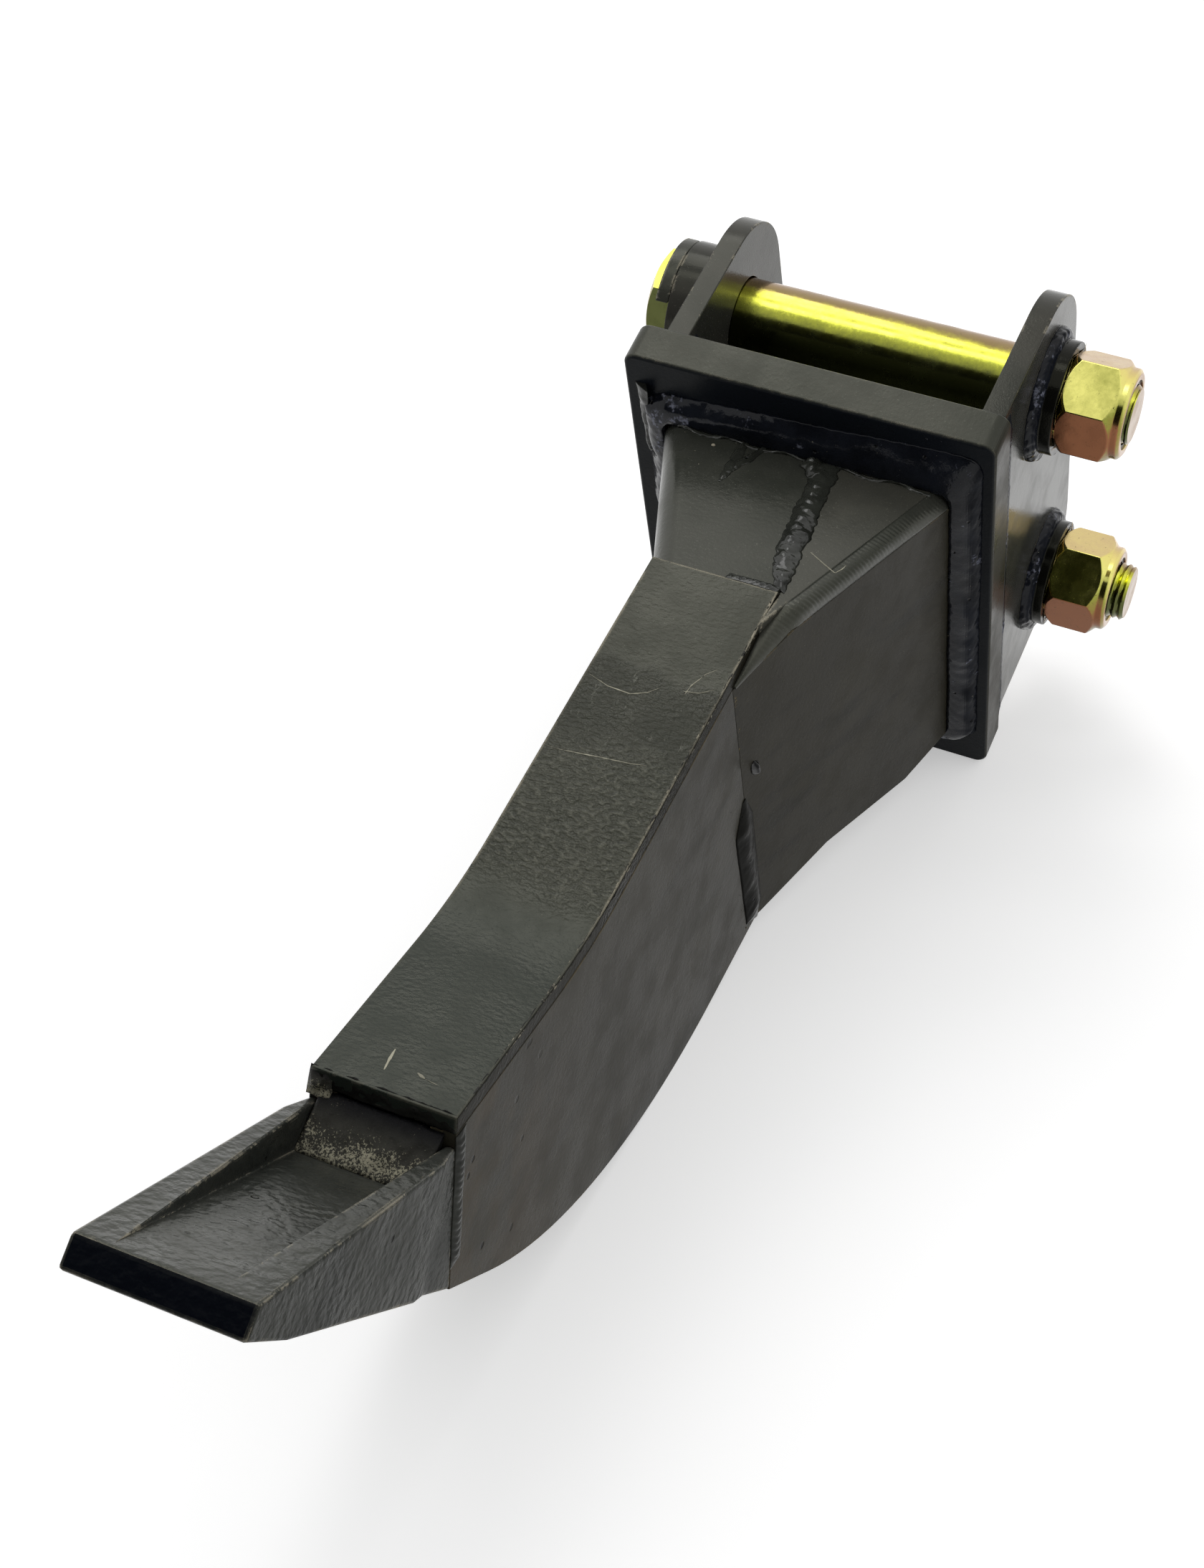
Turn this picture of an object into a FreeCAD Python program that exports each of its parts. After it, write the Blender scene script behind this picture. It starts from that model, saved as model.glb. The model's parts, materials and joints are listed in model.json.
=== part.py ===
import FreeCAD, Part
import math
import os
import re

import Sketcher
from FreeCAD import Placement, Rotation, Vector

# Ripper tooth for a mini digger: mounting plate with two pinned ears, welded
# housing, curved box-section shank and a cast point with a pocket.
#
# Drawing frame, in millimetres: X leaves the front face of the mounting plate
# towards the point, Y is the right-hand side, Z runs up the plate, and the
# origin is the centre of the plate's front face. The last step tips every
# piece onto the floor, where the tool lies on the plate's lower edge and the
# back of the shank, with the origin under the middle of its bounding box.

# Driving dimensions

SIZES = {
    # Mounting plate
    "plate_width": 136,
    "plate_height": 190,
    "plate_thickness": 16,
    "plate_corner": 5,
    "plate_edge_round": 1.5,
    # Ears
    "ear_thickness": 8.3,
    "ear_gap": 107,
    "ear_gap_offset": 3.9,
    "ear_round": 35.5,
    "ear_foot_low": 88,
    "ear_foot_high": 93.5,
    "ear_weld_leg": 6,
    "ear_weld_outer_leg": 2,
    # Pins, through both ears
    "pin_radius": 15,
    "pin_clearance": 0.5,
    "upper_pin_back": 62.1,
    "upper_pin_height": 55.1,
    "lower_pin_back": 67.6,
    "lower_pin_height": -53.9,
    "thread_radius": 11,
    "thread_bevel": 1.2,
    "pin_shoulder_gap": 1,
    # Rings welded to the ears
    "right_boss_radius": 20.7,
    "upper_right_boss_length": 8.4,
    "lower_right_boss_length": 7.5,
    "left_boss_radius": 23.5,
    "left_boss_length": 14.1,
    "boss_weld_leg": 4,
    # Bolt heads and the lugs that keep them from turning
    "hexagon_margin": 0.8,
    "head_flats": 34,
    "head_height": 10,
    "head_bevel": 0.5,
    "head_clearance": 0.3,
    "keeper_length": 5,
    "upper_keeper_turn": 88,
    "lower_keeper_turn": 76,
    # Self-locking nuts
    "nut_flats": 34,
    "nut_length": 23.4,
    "nut_bevel_length": 4.5,
    "nut_seat_radius": 17,
    "nut_hexagon_length": 16,
    "nut_collar_start": 20,
    "nut_collar_radius": 16.4,
    "nut_lip_radius": 14.8,
    "nut_lip_height": 1.2,
    "upper_nut_turn": 36.7,
    "lower_nut_turn": 25,
    "nylon_radius": 12.6,
    "nylon_length": 4.4,
    "nylon_recess": 0.8,
    "upper_thread_proud": 1.3,
    "lower_thread_proud": 5.8,
    # Housing
    "sheet": 6,
    "hood_height": 70,
    "hood_slope": 18.2,
    "hood_length": 80,
    "hood_fold": 8,
    "left_half": 54.5,
    "left_slope": 21.3,
    "right_half": 55.4,
    "right_slope": 15.5,
    "seam_offset": 8,
    "cover_drop": 72,
    "cover_first_reach": 32,
    "cover_first_drop": 70.5,
    "cover_second_reach": 79,
    "cover_second_drop": 51.5,
    "cover_reach": 117,
    "cover_end_drop": 46,
    # Shank
    "shank_width": 44.2,
    "side_sheet": 8,
    "front_sheet": 6,
    "back_sheet": 8,
    "front_step": 1.6,
    "front_slope": 6.8,
    "front_bend_reach": 227,
    "front_bend_radius": 165,
    "front_end_slope": 23.6,
    "front_reach": 306,
    "back_bend_reach": 259,
    "back_bend_drop": 19.7,
    "back_bend_radius": 235,
    "joint_depth": 64.9,
    # Point, along its ribs
    "tip_step": 10.6,
    "tip_turn": 21.9,
    "tip_length": 117,
    "tip_nose_lean": 3.8,
    "tip_nose_depth": 8.5,
    "tip_cheek_reach": 96.3,
    "tip_cheek_depth": 17.9,
    "tip_half_width": 24.3,
    "tip_nose_half_width": 25.3,
    "tip_neck_length": 12,
    "pocket_reach": 114.5,
    "pocket_back_reach": 9.4,
    "pocket_back_depth": 11.7,
    "pocket_nose_half_width": 14.7,
    "pocket_back_half_width": 18.8,
    "pocket_weld_reach": 9.8,
    # Weld beads
    "plate_weld_side": 9,
    "plate_weld_top": 20,
    "plate_weld_run": 6,
    "plate_weld_corner": 8,
    "plate_weld_toe_corner": 6,
    "weld_toe": 0.5,
    "corner_weld_round": 5,
    "seam_weld_back_width": 12,
    "seam_weld_front_width": 5,
    "seam_weld_height": 2,
    "upright_weld_back": 5,
    "upright_weld_front": 10,
    "upright_weld_crown_back": 2,
    "upright_weld_crown_front": 5,
    "upright_weld_height": 2.4,
    "upright_weld_drop": 42,
    "upright_weld_rise": 25,
    "end_weld_width": 4,
    "end_weld_length": 19,
    "tip_seam_width": 6,
    "tip_seam_height": 1,
}

# Lengths under this, in millimetres, count as nothing when edges are picked
NEGLIGIBLE = 0.01

# A low bead's cross-section, as shares of its width and height
BEAD_PROFILE = ((-0.5, 0), (0.5, 0), (0.3, 0.75), (0, 1), (-0.3, 0.75))

# How far a straight cut reaches from a corner, as a share of the round that it touches
CUT_SHARE = "(2 - sqrt(2))"
RIM_CUT = f"({CUT_SHARE} * plate_edge_round)"

doc = FreeCAD.newDocument("RipperTooth")
sheet = doc.addObject("Spreadsheet::Sheet", "Sizes")
for row, (alias, value) in enumerate(SIZES.items(), 1):
    sheet.set(f"A{row}", alias)
    sheet.set(f"B{row}", str(value))
    sheet.setAlias(f"B{row}", alias)
doc.recompute()
reader = doc.addObject("App::FeaturePython", "reader")


def expression(formula):
    """A formula in plain words, such as plate_width / 2, written on the sheet's cells."""
    def cell(match):
        return f"Sizes.{match[0]}" if match[0] in SIZES else match[0]
    return re.sub(r"(?<![.\w])[a-z_]+", cell, formula)


def number(formula):
    value = reader.evalExpression(expression(formula))
    return float(getattr(value, "Value", value))


# Sketches and features

def new_body(name):
    body = doc.addObject("PartDesign::Body", name)
    body.Label = name
    return body


def new_sketch(body, name, plane, start="0"):
    """A sketch on one of the body's own planes, moved along +Y for XZ and along +Z or +X otherwise."""
    sketch = body.newObject("Sketcher::SketchObject", name)
    features = body.Origin.OriginFeatures
    origin_plane = [feature for feature in features if feature.Role == plane + "_Plane"][0]
    sketch.AttachmentSupport = [(origin_plane, "")]
    sketch.MapMode = "FlatFace"
    sign = "-" if plane == "XZ" else ""
    sketch.setExpression("AttachmentOffset.Base.z", expression(f"{sign}({start})"))
    return sketch


def bind(sketch, kind, *where, formula):
    """Add a driving constraint whose value is a formula."""
    index = sketch.addConstraint(Sketcher.Constraint(kind, *where, number(formula)))
    sketch.setExpression(f"Constraints[{index}]", expression(formula))


def bind_point(sketch, geometry, point, x, y):
    bind(sketch, "DistanceX", -1, 1, geometry, point, formula=x)
    bind(sketch, "DistanceY", -1, 1, geometry, point, formula=y)


def add_circle(sketch, x, y, radius):
    circle = Part.Circle(Vector(number(x), number(y), 0), Vector(0, 0, 1), number(radius))
    index = sketch.addGeometry(circle)
    bind_point(sketch, index, 3, x, y)
    bind(sketch, "Radius", index, formula=radius)


def add_arc(sketch, centre, radius, first, last):
    """The shorter arc between two points. Returns its index and which of its ends is the first."""
    start = math.atan2(first.y - centre.y, first.x - centre.x)
    end = math.atan2(last.y - centre.y, last.x - centre.x)
    turn = (end - start) % (2 * math.pi)
    circle = Part.Circle(centre, Vector(0, 0, 1), radius)
    if turn <= math.pi:
        return sketch.addGeometry(Part.ArcOfCircle(circle, start, start + turn)), 1
    return sketch.addGeometry(Part.ArcOfCircle(circle, end, start + 2 * math.pi)), 2


def bend(before, corner, after, radius):
    """Where a round corner starts and ends, and its centre."""
    back = (before - corner).normalize()
    ahead = (after - corner).normalize()
    half = back.getAngle(ahead) / 2
    reach = radius / math.tan(half)
    centre = corner + (back + ahead).normalize() * (radius / math.sin(half))
    return corner + back * reach, corner + ahead * reach, centre


def add_outline(sketch, corners):
    """A closed outline. A corner is (x, y) or, where the outline bends round it, (x, y, radius)."""
    points = [Vector(number(corner[0]), number(corner[1]), 0) for corner in corners]
    bends = []
    for i, corner in enumerate(corners):
        if len(corner) == 2:
            bends.append((points[i], points[i], None))
            continue
        after = points[(i + 1) % len(points)]
        bends.append(bend(points[i - 1], points[i], after, number(corner[2])))
    lines = []
    for i in range(len(corners)):
        arrival = bends[(i + 1) % len(bends)][0]
        lines.append(sketch.addGeometry(Part.LineSegment(bends[i][1], arrival)))
    for i, corner in enumerate(corners):
        before = lines[i - 1]
        after = lines[i]
        arrive, leave, centre = bends[i]
        if centre is None:
            sketch.addConstraint(Sketcher.Constraint("Coincident", before, 2, after, 1))
            bind_point(sketch, after, 1, corner[0], corner[1])
            continue
        arc, first = add_arc(sketch, centre, number(corner[2]), arrive, leave)
        sketch.addConstraint(Sketcher.Constraint("Tangent", before, 2, arc, first))
        sketch.addConstraint(Sketcher.Constraint("Tangent", arc, 3 - first, after, 1))
        bind(sketch, "Radius", arc, formula=corner[2])
        mark = sketch.addGeometry(Part.Point(points[i]), True)
        bind_point(sketch, mark, 1, corner[0], corner[1])
        sketch.addConstraint(Sketcher.Constraint("PointOnObject", mark, 1, before))
        sketch.addConstraint(Sketcher.Constraint("PointOnObject", mark, 1, after))


def add_pad(body, sketch, length):
    """Grow a sketch into a solid: along +Y from an XZ sketch, along +Z or +X from the others."""
    pad = body.newObject("PartDesign::Pad", sketch.Name + "_pad")
    pad.Profile = sketch
    pad.setExpression("Length", expression(length))
    pad.Reversed = "XZ" in sketch.AttachmentSupport[0][0].Role
    body.Tip = pad
    return pad


def prism(name, plane, start, length, corners):
    """A body of one outline, grown square to its plane."""
    body = new_body(name)
    sketch = new_sketch(body, name + "_outline", plane, start)
    add_outline(sketch, corners)
    add_pad(body, sketch, length)
    return body


def ring(name, start, length, radius, bore=None):
    """A round slice about the Y axis, with a bore where one is given."""
    body = new_body(name)
    sketch = new_sketch(body, name + "_circles", "XZ", start)
    add_circle(sketch, "0", "0", radius)
    if bore:
        add_circle(sketch, "0", "0", bore)
    add_pad(body, sketch, length)
    return body


def turn_profile(body, kind, name, corners):
    """Revolve or groove a profile of (radius, y) corners about the Y axis."""
    sketch = new_sketch(body, name + "_profile", "XY")
    add_outline(sketch, corners)
    feature = body.newObject(f"PartDesign::{kind}", name)
    feature.Profile = sketch
    feature.ReferenceAxis = (sketch, ["V_Axis"])
    feature.Angle = 360
    body.Tip = feature
    return feature


def combine(kind, name, base, tool):
    result = doc.addObject(f"Part::{kind}", name)
    result.Label = name
    result.Base = base
    result.Tool = tool
    result.Refine = True
    return result


def group(name, members):
    result = doc.addObject("Part::Compound", name)
    result.Label = name
    result.Links = members
    return result


def hexagon(flats, turn):
    """Corners of a hexagon about the origin, its first corner turned up from the X axis."""
    corners = []
    for k in range(6):
        angle = f"({turn} + {60 * k}) * 1deg"
        corners.append((f"{flats} / sqrt(3) * cos({angle})", f"{flats} / sqrt(3) * sin({angle})"))
    return corners


def past_corners(flats):
    """A radius just outside a hexagon's corners, where a cut may end."""
    return f"({flats} / sqrt(3) + hexagon_margin)"


# Faces that several pieces share, as formulas

RIGHT_EAR_INSIDE = "(ear_gap_offset + ear_gap / 2)"
RIGHT_EAR_OUTSIDE = "(ear_gap_offset + ear_gap / 2 + ear_thickness)"
LEFT_EAR_INSIDE = "(ear_gap_offset - ear_gap / 2)"
LEFT_EAR_OUTSIDE = "(ear_gap_offset - ear_gap / 2 - ear_thickness)"
SHANK_FACE = "(shank_width / 2)"
CORE_FACE = "(shank_width / 2 - side_sheet)"
RIGHT_WALL_END = f"((right_half - {SHANK_FACE}) / tan(right_slope * 1deg))"
RIGHT_WALL_INNER_END = (
    f"((right_half - sheet / cos(right_slope * 1deg) - {SHANK_FACE}) / tan(right_slope * 1deg))"
)
LEFT_WALL_INNER_END = (
    f"((left_half - sheet / cos(left_slope * 1deg) - {SHANK_FACE}) / tan(left_slope * 1deg))"
)


def hood_face(x, depth="0"):
    """Height of the hood's top face, or of a level so far under it."""
    return f"(hood_height + ({x}) * tan(hood_slope * 1deg) - ({depth}) / cos(hood_slope * 1deg))"


def left_face(x, depth="0"):
    """Y of the housing's left face, or of a plane so far inside it."""
    return f"(({x}) * tan(left_slope * 1deg) + ({depth}) / cos(left_slope * 1deg) - left_half)"


def right_face(x, depth="0"):
    return f"(right_half - ({x}) * tan(right_slope * 1deg) - ({depth}) / cos(right_slope * 1deg))"


FRONT_START = f"({hood_face('hood_length')} + front_step)"
FRONT_BEND = (
    "front_bend_reach",
    f"({FRONT_START} + (front_bend_reach - hood_length) * tan(front_slope * 1deg))",
)
FRONT_END = (
    "front_reach",
    f"({FRONT_BEND[1]} + (front_reach - front_bend_reach) * tan(front_end_slope * 1deg))",
)


def front_face(depth="0"):
    """The shank's front line, so far under the wear plate's face: start, bend and end."""
    middle = "(front_slope + front_end_slope) / 2 * 1deg"
    half = "(front_end_slope - front_slope) / 2 * 1deg"
    start = ("hood_length", f"{FRONT_START} - ({depth}) / cos(front_slope * 1deg)")
    corner = (
        f"{FRONT_BEND[0]} + ({depth}) * sin({middle}) / cos({half})",
        f"{FRONT_BEND[1]} - ({depth}) * cos({middle}) / cos({half})",
        f"front_bend_radius + ({depth})",
    )
    return [start, corner, down_the_joint(depth)]


def down_the_joint(depth):
    """A point on the square-cut end of the shank, so far below its front face."""
    x = f"({FRONT_END[0]} + ({depth}) * sin(front_end_slope * 1deg))"
    z = f"({FRONT_END[1]} - ({depth}) * cos(front_end_slope * 1deg))"
    return x, z


JOINT_BOTTOM = down_the_joint("joint_depth")

# The shank's back line: straight from the housing, round its bend and straight to the joint
BACK_FIRST_RUN = "(back_bend_reach - cover_reach)"
BACK_FIRST_RISE = "(cover_end_drop - back_bend_drop)"
BACK_LAST_RUN = f"({JOINT_BOTTOM[0]} - back_bend_reach)"
BACK_LAST_RISE = f"({JOINT_BOTTOM[1]} + back_bend_drop)"
BACK_FIRST_SLOPE = f"atan({BACK_FIRST_RISE} / {BACK_FIRST_RUN})"
BACK_LAST_SLOPE = f"atan({BACK_LAST_RISE} / {BACK_LAST_RUN})"
BACK_MIDDLE_SLOPE = f"(({BACK_FIRST_SLOPE} + {BACK_LAST_SLOPE}) / 2)"
BACK_HALF_TURN = f"(({BACK_LAST_SLOPE} - {BACK_FIRST_SLOPE}) / 2)"
JOINT_SKEW = f"({BACK_LAST_SLOPE} - front_end_slope * 1deg)"

# The bend is limited by the straight runs beside it, which keep at least the sheet's thickness
BACK_FIRST_ROOM = f"(hypot({BACK_FIRST_RUN}; {BACK_FIRST_RISE}) - back_sheet)"
BACK_LAST_ROOM = (
    f"(hypot({BACK_LAST_RUN}; {BACK_LAST_RISE}) - back_sheet * tan{JOINT_SKEW} - back_sheet)"
)
BACK_RADIUS = (
    f"min(back_bend_radius; {BACK_FIRST_ROOM} / tan{BACK_HALF_TURN};"
    f" {BACK_LAST_ROOM} / tan{BACK_HALF_TURN})"
)
BACK_BEND = ("back_bend_reach", "-back_bend_drop", BACK_RADIUS)
COVER_LINE = [
    ("0", "-cover_drop"),
    ("cover_first_reach", "-cover_first_drop"),
    ("cover_second_reach", "-cover_second_drop"),
    ("cover_reach", "-cover_end_drop"),
]
COVER_INSIDE = [(x, f"{z} + sheet") for x, z in COVER_LINE]


# Mounting plate

def make_plate():
    body = new_body("mounting_plate")
    sketch = new_sketch(body, "plate_outline", "YZ", "-plate_thickness")
    corners = []
    for side, up in (("-", "-"), ("", "-"), ("", ""), ("-", "")):
        corners.append((f"{side}plate_width / 2", f"{up}plate_height / 2", "plate_corner"))
    add_outline(sketch, corners)
    pad = add_pad(body, sketch, "plate_thickness")
    doc.recompute()
    rims = []
    for index, edge in enumerate(pad.Shape.Edges, 1):
        if edge.BoundBox.XLength < NEGLIGIBLE:
            rims.append(f"Edge{index}")
    bevelled = body.newObject("PartDesign::Chamfer", "plate_rims")
    bevelled.Base = (pad, rims)
    bevelled.setExpression("Size", expression(RIM_CUT))
    body.Tip = bevelled
    return body


# Ears and the beads that hold them

def outside_tangent(point, centre, radius, side):
    """Where a line from a point touches a circle, on the chosen side."""
    away = point - centre
    angle = math.atan2(away.y, away.x) + side * math.acos(radius / away.Length)
    return centre + Vector(math.cos(angle), math.sin(angle), 0) * radius


def make_ear_plate(name, start):
    """A plate that wraps both pin holes with one radius and runs straight to the mounting plate."""
    body = new_body(name)
    sketch = new_sketch(body, name + "_outline", "XZ", start)
    radius = number("ear_round")
    foot = Vector(number("-plate_thickness"), number("-ear_foot_low"), 0)
    head = Vector(number("-plate_thickness"), number("ear_foot_high"), 0)
    upper = Vector(number("-upper_pin_back"), number("upper_pin_height"), 0)
    lower = Vector(number("-lower_pin_back"), number("lower_pin_height"), 0)
    spine = (lower - upper).normalize()
    rearward = Vector(spine.y, -spine.x, 0) * radius
    top_touch = outside_tangent(head, upper, radius, 1)
    low_touch = outside_tangent(foot, lower, radius, -1)
    root = sketch.addGeometry(Part.LineSegment(foot, head))
    top = sketch.addGeometry(Part.LineSegment(head, top_touch))
    rear = sketch.addGeometry(Part.LineSegment(upper + rearward, lower + rearward))
    low = sketch.addGeometry(Part.LineSegment(low_touch, foot))
    upper_arc, upper_first = add_arc(sketch, upper, radius, top_touch, upper + rearward)
    lower_arc, lower_first = add_arc(sketch, lower, radius, lower + rearward, low_touch)
    sketch.addConstraint(Sketcher.Constraint("Coincident", root, 2, top, 1))
    sketch.addConstraint(Sketcher.Constraint("Coincident", low, 2, root, 1))
    sketch.addConstraint(Sketcher.Constraint("Tangent", top, 2, upper_arc, upper_first))
    sketch.addConstraint(Sketcher.Constraint("Tangent", upper_arc, 3 - upper_first, rear, 1))
    sketch.addConstraint(Sketcher.Constraint("Tangent", rear, 2, lower_arc, lower_first))
    sketch.addConstraint(Sketcher.Constraint("Tangent", lower_arc, 3 - lower_first, low, 1))
    bind_point(sketch, root, 1, "-plate_thickness", "-ear_foot_low")
    bind_point(sketch, root, 2, "-plate_thickness", "ear_foot_high")
    for arc, level in ((upper_arc, "upper"), (lower_arc, "lower")):
        bind_point(sketch, arc, 3, f"-{level}_pin_back", f"{level}_pin_height")
        bind(sketch, "Radius", arc, formula="ear_round")
        add_circle(sketch, f"-{level}_pin_back", f"{level}_pin_height", "pin_radius + pin_clearance")
    add_pad(body, sketch, "ear_thickness")
    return body


def make_ear_welds(name, inside, outside, inward):
    """Two fillet beads that tie one ear to the back of the plate. Inward is + or - along Y."""
    outward = "-" if inward == "+" else "+"
    beads = []
    for part, face, reach in (
        ("inner", inside, f"{inward} ear_weld_leg"),
        ("outer", outside, f"{outward} ear_weld_outer_leg"),
    ):
        corners = [
            ("-plate_thickness", face),
            ("-plate_thickness", f"{face} {reach}"),
            ("-plate_thickness - ear_weld_leg", face),
        ]
        height = "ear_foot_low + ear_foot_high - 2 * plate_corner"
        beads.append(prism(f"{name}_{part}", "XY", "plate_corner - ear_foot_low", height, corners))
    return group(name, beads)


# Rings, lugs, pin bolts and nuts, each stack about its own pin axis

def pin_axis(level):
    place = Vector(number(f"-{level}_pin_back"), 0, number(f"{level}_pin_height"))
    return Placement(place, Rotation())


HEAD_SEAT = f"({LEFT_EAR_OUTSIDE} - left_boss_length)"


def nut_seat(level):
    return f"({RIGHT_EAR_OUTSIDE} + {level}_right_boss_length)"


def make_left_boss(level):
    hole = "pin_radius + pin_clearance"
    return ring(f"{level}_left_boss", HEAD_SEAT, "left_boss_length", "left_boss_radius", hole)


def make_right_boss(level):
    hole = "pin_radius + pin_clearance"
    length = f"{level}_right_boss_length"
    return ring(f"{level}_right_boss", RIGHT_EAR_OUTSIDE, length, "right_boss_radius", hole)


def make_keeper(level):
    """The slice of the left ring that stands on past the head's seat, over one of its flats."""
    name = f"{level}_keeper"
    start = f"{HEAD_SEAT} - keeper_length"
    whole = ring(name + "_ring", start, "keeper_length", "left_boss_radius")
    along = f"cos({level}_keeper_turn * 1deg)"
    rise = f"sin({level}_keeper_turn * 1deg)"
    flat = "(head_flats / 2 + head_clearance)"
    wide = "(2 * left_boss_radius)"
    corners = []
    for out, side in ((flat, "-1"), (wide, "-1"), (wide, "1"), (flat, "1")):
        x = f"{out} * {along} - {side} * {wide} * {rise}"
        z = f"{out} * {rise} + {side} * {wide} * {along}"
        corners.append((x, z))
    beyond_flat = prism(name + "_slice", "XZ", start, "keeper_length", corners)
    return combine("Common", name, whole, beyond_flat)


def make_pin_bolt(level):
    name = f"{level}_pin_bolt"
    seat = nut_seat(level)
    head_face = f"({HEAD_SEAT} - head_height)"
    body = new_body(name)
    head = new_sketch(body, name + "_hexagon", "XZ", head_face)
    add_outline(head, hexagon("head_flats", f"{level}_keeper_turn + 30"))
    add_pad(body, head, "head_height")
    inner = "(head_flats / 2 - head_bevel)"
    outer = past_corners("head_flats")
    turn_profile(body, "Groove", name + "_head_bevel", [
        (inner, head_face),
        (outer, head_face),
        (outer, f"{head_face} + ({outer} - {inner}) * tan(30deg)"),
    ])
    shoulder = f"({seat} - pin_shoulder_gap)"
    shank = new_sketch(body, name + "_shank", "XZ", HEAD_SEAT)
    add_circle(shank, "0", "0", "pin_radius")
    add_pad(body, shank, f"{shoulder} - {HEAD_SEAT}")
    end = f"({seat} + nut_length + {level}_thread_proud)"
    thread = new_sketch(body, name + "_thread", "XZ", shoulder)
    add_circle(thread, "0", "0", "thread_radius")
    add_pad(body, thread, f"{end} - {shoulder}")
    turn_profile(body, "Groove", name + "_thread_bevel", [
        ("thread_radius - thread_bevel", end),
        ("thread_radius + thread_bevel", f"{end} - 2 * thread_bevel"),
        ("thread_radius + thread_bevel", end),
    ])
    return body


def make_nut(level):
    name = f"{level}_nut"
    seat = nut_seat(level)
    end = f"({seat} + nut_length)"
    outside = past_corners("nut_flats")
    body = new_body(name)
    outline = new_sketch(body, name + "_hexagon", "XZ", seat)
    add_outline(outline, hexagon("nut_flats", f"{level}_nut_turn"))
    add_circle(outline, "0", "0", "thread_radius")
    add_pad(body, outline, "nut_length")
    turn_profile(body, "Groove", name + "_seat_bevel", [
        ("nut_seat_radius", seat),
        (outside, seat),
        (outside, f"{seat} + nut_bevel_length"),
    ])
    turn_profile(body, "Groove", name + "_collar", [
        (outside, f"{seat} + nut_hexagon_length"),
        ("nut_collar_radius", f"{seat} + nut_collar_start"),
        ("nut_collar_radius", f"{end} - nut_lip_height"),
        ("nut_lip_radius", end),
        (outside, end),
    ])
    insert = f"{end} - nylon_recess - nylon_length"
    turn_profile(body, "Groove", name + "_insert_seat", [
        ("thread_radius - thread_bevel", insert),
        ("nylon_radius", insert),
        ("nylon_radius", end),
        ("thread_radius - thread_bevel", end),
    ])
    return body


def make_nylon_ring(level):
    start = f"{nut_seat(level)} + nut_length - nylon_recess - nylon_length"
    return ring(f"{level}_nylon_ring", start, "nylon_length", "nylon_radius", "thread_radius")


def make_boss_weld(level, side, face, outward):
    """The fillet bead round the foot of one ring."""
    name = f"{level}_{side}_boss_weld"
    body = new_body(name)
    radius = f"{side}_boss_radius"
    corners = [
        (radius, face),
        (f"{radius} + boss_weld_leg", face),
        (radius, f"{face} {outward} boss_weld_leg"),
    ]
    turn_profile(body, "Revolution", name + "_bead", corners)
    return body


def on_both_pins(make):
    """The upper and the lower one of a piece that sits on the pin axes."""
    members = []
    for level in ("upper", "lower"):
        member = make(level)
        member.Placement = pin_axis(level)
        members.append(member)
    return members


def make_ear(side, start, face, outward, make_boss):
    """An ear plate with its two rings and the beads round them, welded into one piece."""
    def make_weld(level):
        return make_boss_weld(level, side, face, outward)
    ear = doc.addObject("Part::MultiFuse", f"{side}_ear")
    ear.Label = f"{side}_ear"
    plate = make_ear_plate(f"{side}_ear_plate", start)
    ear.Shapes = [plate] + on_both_pins(make_boss) + on_both_pins(make_weld)
    ear.Refine = True
    return ear


# Housing

def across(name, corners):
    """A side-view outline grown right across the tool."""
    return prism(name, "XZ", "-plate_width", "2 * plate_width", corners)


def upright(name, corners):
    """A plan outline grown through the tool's whole height."""
    return prism(name, "XY", "-plate_height", "2 * plate_height", corners)


def make_housing_form():
    """The outer form of the whole housing, with its two rounded top corners, to cut the plates from."""
    side = across("housing_side_view", COVER_LINE + [
        (RIGHT_WALL_END, BACK_LINE_AT_WALL_END),
        (RIGHT_WALL_END, hood_face(RIGHT_WALL_END)),
        ("0", hood_face("0")),
    ])
    plan = upright("housing_plan", [
        ("0", left_face("0")),
        (RIGHT_WALL_END, left_face(RIGHT_WALL_END)),
        (RIGHT_WALL_END, right_face(RIGHT_WALL_END)),
        ("0", right_face("0")),
    ])
    sharp = combine("Common", "housing_sharp_form", side, plan)
    doc.recompute()
    rounded = doc.addObject("Part::Fillet", "housing_form")
    rounded.Base = sharp
    edges = []
    for index, edge in enumerate(sharp.Shape.Edges, 1):
        middle = edge.CenterOfMass
        along_top = abs(middle.z - number(hood_face(f"{middle.x}"))) < NEGLIGIBLE
        if not along_top or edge.BoundBox.XLength < NEGLIGIBLE:
            continue
        radius = number("hood_fold" if middle.y < 0 else "corner_weld_round")
        edges.append((index, radius, radius))
    rounded.Edges = edges
    doc.recompute()
    return rounded


BACK_LINE_AT_WALL_END = (
    f"(({RIGHT_WALL_END} - cover_reach) * (cover_end_drop - back_bend_drop)"
    " / (back_bend_reach - cover_reach) - cover_end_drop)"
)


def roof_crossing():
    """X where the hood's underside, carried on, meets the underside of the wear plate."""
    gap = f"({front_face('front_sheet')[0][1]} - {hood_face('hood_length', 'sheet')})"
    return f"(hood_length + {gap} / (tan(hood_slope * 1deg) - tan(front_slope * 1deg)))"


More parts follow.
